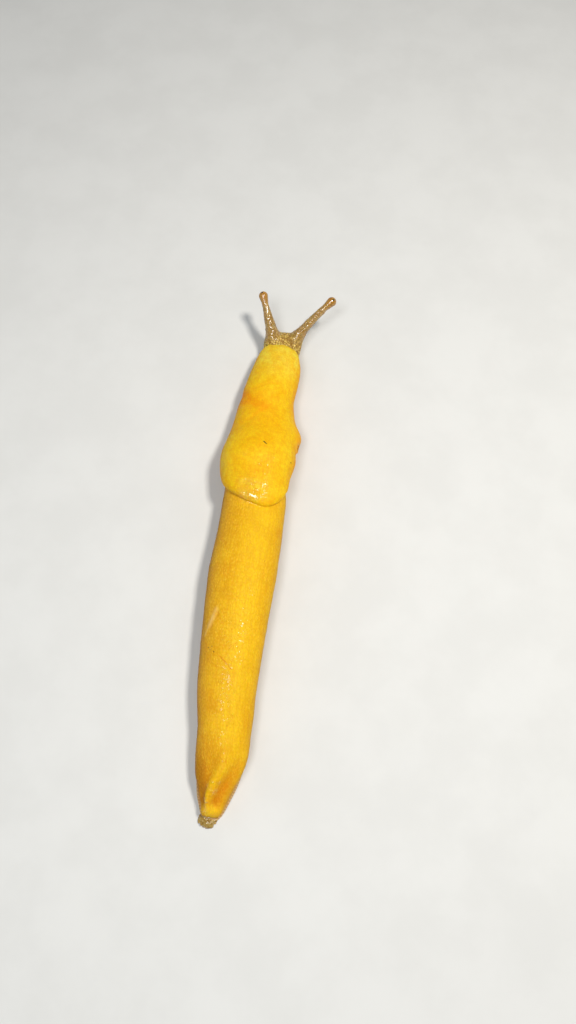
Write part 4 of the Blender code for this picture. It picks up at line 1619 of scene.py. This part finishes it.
@dataclass(frozen=True)
class WetSkin:
    """The golden skin with its yellow mantle, olive head and cream fringe, wet all over."""

    gold: Triple = (0.71, 0.34, 0.006)
    gold_light: Triple = (0.81, 0.48, 0.010)
    # a painted highlight, lighter and yellower
    sunny: Triple = (0.85, 0.54, 0.003)
    # partly the skin's own tan, partly painted shade on the left side
    tan: Triple = (0.62, 0.32, 0.028)
    # deeper orange, partly the tail's own, partly painted shade in the hollows beside the keel
    tail: Triple = (0.68, 0.25, 0.001)
    # painted shade, dark amber low on the flanks and on the left side
    flank: Triple = (0.38, 0.165, 0.005)
    knob: Triple = (0.97, 0.60, 0.014)
    granule: Triple = (0.92, 0.60, 0.05)
    mantle: Triple = (0.86, 0.55, 0.006)
    mantle_light: Triple = (0.90, 0.67, 0.018)
    mantle_deep: Triple = (0.85, 0.46, 0.002)
    # deeper orange, partly the mantle's own, partly painted shade on its sides and in its folds
    mantle_orange_and_shade: Triple = (0.90, 0.36, 0.002)
    # the hood's paler yellow, also laid as a painted sheen on the left of the shield
    hood_front: Triple = (0.86, 0.69, 0.06)
    olive: Triple = (0.60, 0.41, 0.09)
    olive_light: Triple = (0.88, 0.66, 0.22)
    stalk: Triple = (0.44, 0.255, 0.045)
    stalk_light: Triple = (0.60, 0.40, 0.12)
    amber: Triple = (0.58, 0.29, 0.024)
    cream: Triple = (0.74, 0.50, 0.24)
    cream_dark: Triple = (0.45, 0.24, 0.08)
    under: Triple = (0.66, 0.52, 0.28)
    # nearly black: painted shade in the pore's hollow
    pore: Triple = (0.10, 0.04, 0.008)
    pore_rim: Triple = (0.80, 0.42, 0.05)
    scar: Triple = (0.80, 0.53, 0.19)
    # what the colour is multiplied by in the mantle's mottling, in a furrow (painted shade) and between the
    # head's granules (their own darker lines, partly painted shade)
    mottling: Triple = (0.94, 0.78, 0.62)
    furrow: Triple = (0.84, 0.70, 0.60)
    head_furrow: Triple = (0.42, 0.37, 0.28)
    flecks: tuple[Fleck, ...] = (
        Fleck(0.75, 41.25, -38, 1.15, 0.27, 0.92, (0.05, 0.022, 0.008)),
        Fleck(11.2, 36.9, 20, 0.26, 0.24, 0.8, (0.12, 0.05, 0.01)),
        Fleck(-6.8, -36.1, 40, 0.34, 0.22, 0.6, (0.10, 0.06, 0.03)),
        Fleck(-5.6, -35.7, -20, 0.30, 0.20, 0.6, (0.10, 0.06, 0.03)),
        Fleck(-6.0, -36.9, 10, 0.42, 0.20, 0.45, (0.12, 0.06, 0.03)),
        Fleck(-4.6, -37.4, -35, 0.45, 0.20, 0.7, (0.20, 0.07, 0.01)),
        Fleck(-0.6, -40.0, -38, 3.6, 0.27, 0.6, (0.62, 0.20, 0.004)),
        Fleck(-3.6, 61.0, 15, 0.3, 0.2, 0.5, (0.45, 0.16, 0.01)),
        Fleck(7.6, -3.0, 60, 0.3, 0.22, 0.4, (0.40, 0.16, 0.01)),
        Fleck(-3.0, 1.5, 15, 0.26, 0.2, 0.35, (0.40, 0.16, 0.01)),
        Fleck(4.2, -61.0, 80, 0.32, 0.2, 0.4, (0.40, 0.15, 0.01)),
    )
    # sizes of the pigment's clouds, in millimetres
    wide_clouds: float = 13.0
    clouds: float = 5.5
    fine_clouds: float = 1.6

    def laid(self, board: Board, colour: Wire, *names: str) -> Wire:
        """Lays colours over another one, each by the mask of its own name.

        Args:
            board: the board.
            colour: the colour below.
            names: the names of the colours, from the lowest up.

        Returns:
            The colour that shows.
        """
        for name in names:
            colour = board.mix(board.mask(name), colour, getattr(self, name))
        return colour

    def shield(self, board: Board, wide: Wire, clouds: Wire, fine: Wire) -> Wire:
        """The colour of the mantle.

        Args:
            board: the board.
            wide, clouds, fine: the pigment's clouds of each size.

        Returns:
            The colour.
        """
        colour = board.mix(board.times(clouds, 0.7), self.mantle, self.mantle_light)
        colour = board.mix(board.times(wide, 0.5), colour, self.mantle_deep)
        # the hood's paler front, and a painted sheen on the left of the shield
        pale = board.times(board.mask("hood_front"), board.between(clouds, 0.0, 1.0, (0.45, 0.9)))
        colour = board.mix(pale, colour, self.hood_front)
        # painted shade: deeper orange on the sides, in the folds and at the neck, partly the mantle's own
        # orange, broken by its clouds
        cloudy = board.between(clouds, 0.0, 1.0, (0.6, 1.25))
        deep = board.math("MULTIPLY", board.mask("mantle_shade"), cloudy, clamp=True)
        colour = board.mix(deep, colour, self.mantle_orange_and_shade)
        return board.mix(board.times(fine, 0.8), colour, self.mottling, "MULTIPLY")

    def head(self, board: Board, fine: Wire) -> Wire:
        """The colour of the head, its stalks and their bulbs.

        Args:
            board: the board.
            fine: the pigment's finest clouds.

        Returns:
            The colour.
        """
        olive = board.mix(board.times(fine, 0.8), self.olive, self.olive_light)
        stalk = board.mix(fine, self.stalk, self.stalk_light)
        return self.laid(board, board.mix(board.mask("stalk"), olive, stalk), "amber")

    def build(self, effects: Effects) -> bpy.types.Material:
        """Makes the finish.

        Args:
            effects: the shared node groups.

        Returns:
            The material.
        """
        finish = Finish("wet_golden_skin")
        board, place = finish.board, finish.place
        sizes = (self.wide_clouds, self.clouds, self.fine_clouds)
        pigments = [board.use(effects.mottle, Place=place, Size=size) for size in sizes]
        wide, clouds, fine = (pigment["Clouds"] for pigment in pigments)
        colour = board.mix(board.total((clouds, 0.5), (wide, 0.5)), self.gold, self.gold_light)
        # painted light and shade over the gold: a highlight band, shade on the left side and low on the
        # flanks, deeper orange in the tail's hollows
        colour = self.laid(board, colour, "sunny", "tan", "tail", "flank", "knob")
        around = board.times(board.mask("girth"), BODY.girth_length)
        rows = board.use(effects.rows, Along=board.mask("along"), Around=around, Length=1.15, Width=0.74)
        dots = board.times(rows["Dots"], board.mask("rows"))
        colour = board.mix(board.times(dots, 0.55), colour, self.granule)
        colour = board.mix(board.mask("mantle"), colour, self.shield(board, wide, clouds, fine))
        colour = board.mix(board.mask("head"), colour, self.head(board, fine))
        fringe = board.mix(board.mask("stripes"), self.cream, self.cream_dark)
        colour = board.mix(board.mask("fringe"), colour, fringe)
        # the pore's hollow painted nearly black as painted shade
        colour = self.laid(board, colour, "under", "pore_rim", "pore")
        # painted shade: darker in the furrows and the crease beside the scar, and between the head's
        # granules, which is partly their own darker lines
        colour = board.mix(board.mask("furrow"), colour, self.furrow, "MULTIPLY")
        lines = board.times(board.mask("furrow"), board.mask("head"))
        colour = board.mix(lines, colour, self.head_furrow, "MULTIPLY")
        colour = board.mix(board.times(board.mask("scar"), 0.5), colour, self.scar)
        for fleck in self.flecks:
            colour = board.mix(fleck.mask(board, effects, place), colour, fleck.colour)
        slime = board.use(effects.slime, Place=place, Wet=board.mask("wet"), Pool=board.mask("puddle"))
        granules = board.use(effects.granules, Place=place, Size=0.5)
        rippled = board.times(board.noise(place, 0.5, 2.0), board.mask("stalk"))
        height = board.total(
            (slime["Height"], 1.0), (granules["Height"], 0.7), (pigments[2]["Grains"], 0.25), (dots, 0.8),
            (rippled, 9.0),
        )
        flat_on = board.add("ShaderNodeLayerWeight").outputs["Facing"]
        board.feed(
            finish.shader, Base_Color=colour, Roughness=slime["Roughness"],
            Normal=finish.relief(height, 0.05),
            Coat_Weight=board.times(slime["Film"], board.between(flat_on, 0.45, 0.8, (1.0, 0.0))),
            Coat_Roughness=0.14, Coat_IOR=1.8, IOR=1.2,
            Subsurface_Weight=0.28, Subsurface_Radius=(1.0, 0.42, 0.08), Subsurface_Scale=0.0016,
        )
        return finish.material


@dataclass(frozen=True)
class SlimyFinish:
    """A mottled finish under a film of slime. Its clouds and the depth of its relief are in millimetres."""

    name: str
    dark: Triple
    light: Triple
    clouds: float
    wet: float
    depth: float
    strength: float
    coat: float
    coat_roughness: float
    ior: float
    pool: float = 0.0
    clear: float = 0.0

    def build(self, effects: Effects) -> bpy.types.Material:
        """Makes the finish.

        Args:
            effects: the shared node groups.

        Returns:
            The material.
        """
        finish = Finish(self.name)
        board = finish.board
        mottle = board.use(effects.mottle, Place=finish.place, Size=self.clouds)
        slime = board.use(effects.slime, Place=finish.place, Wet=self.wet, Pool=self.pool)
        board.feed(
            finish.shader, Base_Color=board.mix(mottle["Clouds"], self.dark, self.light),
            Roughness=slime["Roughness"], Normal=finish.relief(slime["Height"], self.depth, self.strength),
            Coat_Weight=self.coat, Coat_Roughness=self.coat_roughness, IOR=self.ior,
            Transmission_Weight=self.clear,
        )
        return finish.material


# The eye, nearly black under a clear wet film, and the plug of slime, amber and half clear
EYE_GLOSS = SlimyFinish(
    "wet_black_eye", dark=(0.010, 0.008, 0.007), light=(0.040, 0.022, 0.012), clouds=0.35, wet=0.8,
    depth=0.02, strength=0.2, coat=0.15, coat_roughness=0.1, ior=1.33,
)
CLEAR_SLIME = SlimyFinish(
    "clear_slime", dark=(0.46, 0.24, 0.012), light=(0.74, 0.50, 0.12), clouds=1.2, wet=1.0, pool=1.0,
    depth=0.1, strength=0.8, coat=0.9, coat_roughness=0.05, ior=1.36, clear=0.45,
)


@dataclass(frozen=True)
class PaleFloor:
    """The plain pale floor of a studio."""

    colour: Triple = (0.70, 0.69, 0.66)
    shade: Triple = (0.67, 0.66, 0.63)
    clouds: float = 30.0

    def build(self, effects: Effects) -> bpy.types.Material:
        """Makes the finish.

        Args:
            effects: the shared node groups.

        Returns:
            The material.
        """
        finish = Finish("pale_floor")
        mottle = finish.board.use(effects.mottle, Place=finish.place, Size=self.clouds)
        colour = finish.board.mix(mottle["Clouds"], self.colour, self.shade)
        finish.board.feed(finish.shader, Base_Color=colour, Roughness=0.85)
        return finish.material


# The other pieces and the studio


@dataclass
class Eyes:
    """The two eyes, set in the upper outer side of the bulbs."""

    radius: float = 0.52
    proud: float = 0.15
    leans: dict[Side, Triple] = field(
        default_factory=lambda: {Side.LEFT: (-0.30, 0.24, 0.93), Side.RIGHT: (0.40, -0.10, 0.91)}
    )
    rings: int = 20
    segments: int = 32

    def centre(self, side: Side) -> Array:
        """The middle of one eye.

        Args:
            side: which eye.

        Returns:
            Its middle.
        """
        stalk, lean = HEAD.stalks[side], np.array(self.leans[side])
        lean /= np.linalg.norm(lean)
        return stalk.axis(stalk.places[-1])[0] + lean * (stalk.radii[-1] - self.radius + self.proud)

    def build(self, side: Side) -> bpy.types.Object:
        """Makes one eye.

        Args:
            side: which eye.

        Returns:
            The eye.
        """
        rise = np.linspace(0, np.pi, self.rings + 1)[1:-1]
        turn = np.arange(self.segments) * 2 * np.pi / self.segments
        rows = np.stack([
            np.outer(np.sin(rise), np.cos(turn)), np.outer(np.sin(rise), np.sin(turn)),
            np.outer(np.cos(rise), np.ones(self.segments)),
        ], axis=-1).reshape(-1, 3)
        points = np.concatenate([rows, [[0, 0, 1], [0, 0, -1]]]) * self.radius + self.centre(side)
        faces, count = [], self.segments
        for j in range(count):
            k = (j + 1) % count
            starts = range(0, (len(rise) - 1) * count, count)
            faces.append((len(rows), j, k))
            faces += [(i + j, i + count + j, i + count + k, i + k) for i in starts]
            faces.append((len(rows) + 1, len(rows) - count + k, len(rows) - count + j))
        return piece(f"eye_ball_{side.value}", points, faces, "eye_black", f"eye_{side.value}")


@dataclass
class SlimePlug:
    """The lump of clear slime behind the tail."""

    radii: Triple = (3.7, 3.4, 1.9)
    centre: Triple = (1.8, -91.2, 0.35)
    steep: float = 2.2           # how fast the field grows outward
    step: float = 0.14
    lump: float = 0.3
    lumps: Table = ((0.7, 1.3, 21), (0.7, 0.62, 22))
    lump_share: float = 0.9
    margin: float = 0.4
    ground_rounding: float = 0.3
    gap: float = 0.12            # from the skin
    gap_rounding: float = 0.2

    def away(self, x: Array, y: Array, z: Array) -> Array:
        """The distance from the plug.

        Args:
            x, y, z: the places.

        Returns:
            The distances, negative inside.
        """
        k = length(*((v - m) / r for v, m, r in zip((x, y, z), self.centre, self.radii)))
        points = np.stack([v.ravel() for v in np.broadcast_arrays(x, y, z)], axis=1)
        lumps = swells(self.lumps, points).reshape(k.shape)
        away = (k - 1) * self.steep + self.lump - self.lump * lumps * self.lump_share
        away = within(away, -z, self.ground_rounding)
        return within(away, -(SKIN.away(x, y, z) + self.gap), self.gap_rounding)

    def build(self) -> bpy.types.Object:
        """Makes the plug.

        Returns:
            The plug.
        """
        middle, reach = np.array(self.centre), np.array(self.radii) + self.margin
        low, high = middle - reach, middle + reach
        low[2] = -self.margin
        points, faces = SurfaceNet(*(np.arange(low[k], high[k], self.step) for k in range(3))).mesh(self.away)
        points[:, 2] = np.maximum(points[:, 2], 0.0)
        return piece("tail_slime", points, faces, "mucus", "tail_mucus")


SKIN = Skin()


@dataclass(frozen=True)
class Lamp:
    """A soft square lamp that points at the animal."""

    name: str
    at: Triple
    width: float
    watts: float
    colour: Triple

    def hang(self, target: Vector) -> None:
        """Hangs the lamp.

        Args:
            target: where it points.
        """
        light = bpy.data.lights.new(self.name, "AREA")
        light.shape, light.size = "SQUARE", self.width * MM
        light.energy, light.color = self.watts, self.colour
        place(bpy.data.objects.new(self.name, light), Vector(self.at), target)


def place(thing: bpy.types.Object, at: Vector, target: Vector) -> None:
    """Puts a lamp or the camera in its place.

    Args:
        thing: what is placed.
        at: where it goes.
        target: where it points.
    """
    thing.location = at * MM
    thing.rotation_mode = "QUATERNION"
    thing.rotation_quaternion = (target - at).to_track_quat("-Z", "Y")
    bpy.context.scene.collection.objects.link(thing)


@dataclass
class Studio:
    """The floor, the soft lamps and the camera."""

    camera_at: Triple = (27.54, -78.55, 281.91)
    camera_to: Triple = (12.2, 22.9, 0.0)
    lens: float = 27.04
    sensor: float = 36.0
    nearest: float = 1.0         # that the camera sees
    floor: float = 3000.0
    lamps_to: Triple = (0.0, 10.0, 8.0)
    lamps: tuple[Lamp, ...] = (
        Lamp("key_lamp", (235, 70, 560), 90, 2.68, (1.0, 0.97, 0.92)),
        Lamp("fill_lamp", (-420, -60, 360), 420, 0.1, (0.93, 0.96, 1.0)),
        Lamp("high_lamp", (-70, -175, 540), 170, 1.33, (0.92, 0.96, 1.0)),
    )
    room_colour: Triple = (0.9, 0.95, 1.0)
    room_light: float = 0.24

    def lay_floor(self, finish: bpy.types.Material) -> None:
        """Lays the floor.

        Args:
            finish: its material.
        """
        mesh = bpy.data.meshes.new("floor")
        half = self.floor * MM / 2
        corners = [(-half, -half, 0), (half, -half, 0), (half, half, 0), (-half, half, 0)]
        mesh.from_pydata(corners, [], [(0, 1, 2, 3)])
        mesh.materials.append(finish)
        thing = bpy.data.objects.new("floor", mesh)
        bpy.context.scene.collection.objects.link(thing)

    def light(self) -> None:
        """Hangs the lamps and dims the room."""
        for lamp in self.lamps:
            lamp.hang(Vector(self.lamps_to))
        world = bpy.data.worlds.new("room")
        world.use_nodes = True
        background = world.node_tree.nodes["Background"]
        Board(world.node_tree).feed(background, Color=self.room_colour, Strength=self.room_light)
        bpy.context.scene.world = world
        bpy.context.scene.view_settings.view_transform = "Standard"

    def place_camera(self) -> None:
        """Puts the camera where the picture was taken from."""
        data = bpy.data.cameras.new("camera")
        data.sensor_fit, data.sensor_height, data.lens = "VERTICAL", self.sensor, self.lens
        data.clip_start = self.nearest * MM
        thing = bpy.data.objects.new("camera", data)
        place(thing, Vector(self.camera_at), Vector(self.camera_to))
        bpy.context.scene.camera = thing


def main() -> None:
    """Builds the animal piece by piece, then the studio round it."""
    logging.basicConfig(level=logging.INFO, format="%(message)s")
    effects = Effects(mottle_group(), granule_group(), slime_group(), fleck_group(), granule_rows_group())
    SKIN.build().data.materials.append(WetSkin().build(effects))
    eyes, gloss = Eyes(), EYE_GLOSS.build(effects)
    for side in Side:
        eyes.build(side).data.materials.append(gloss)
    SlimePlug().build().data.materials.append(CLEAR_SLIME.build(effects))
    studio = Studio()
    studio.lay_floor(PaleFloor().build(effects))
    studio.light()
    studio.place_camera()


if __name__ == "__main__":
    main()
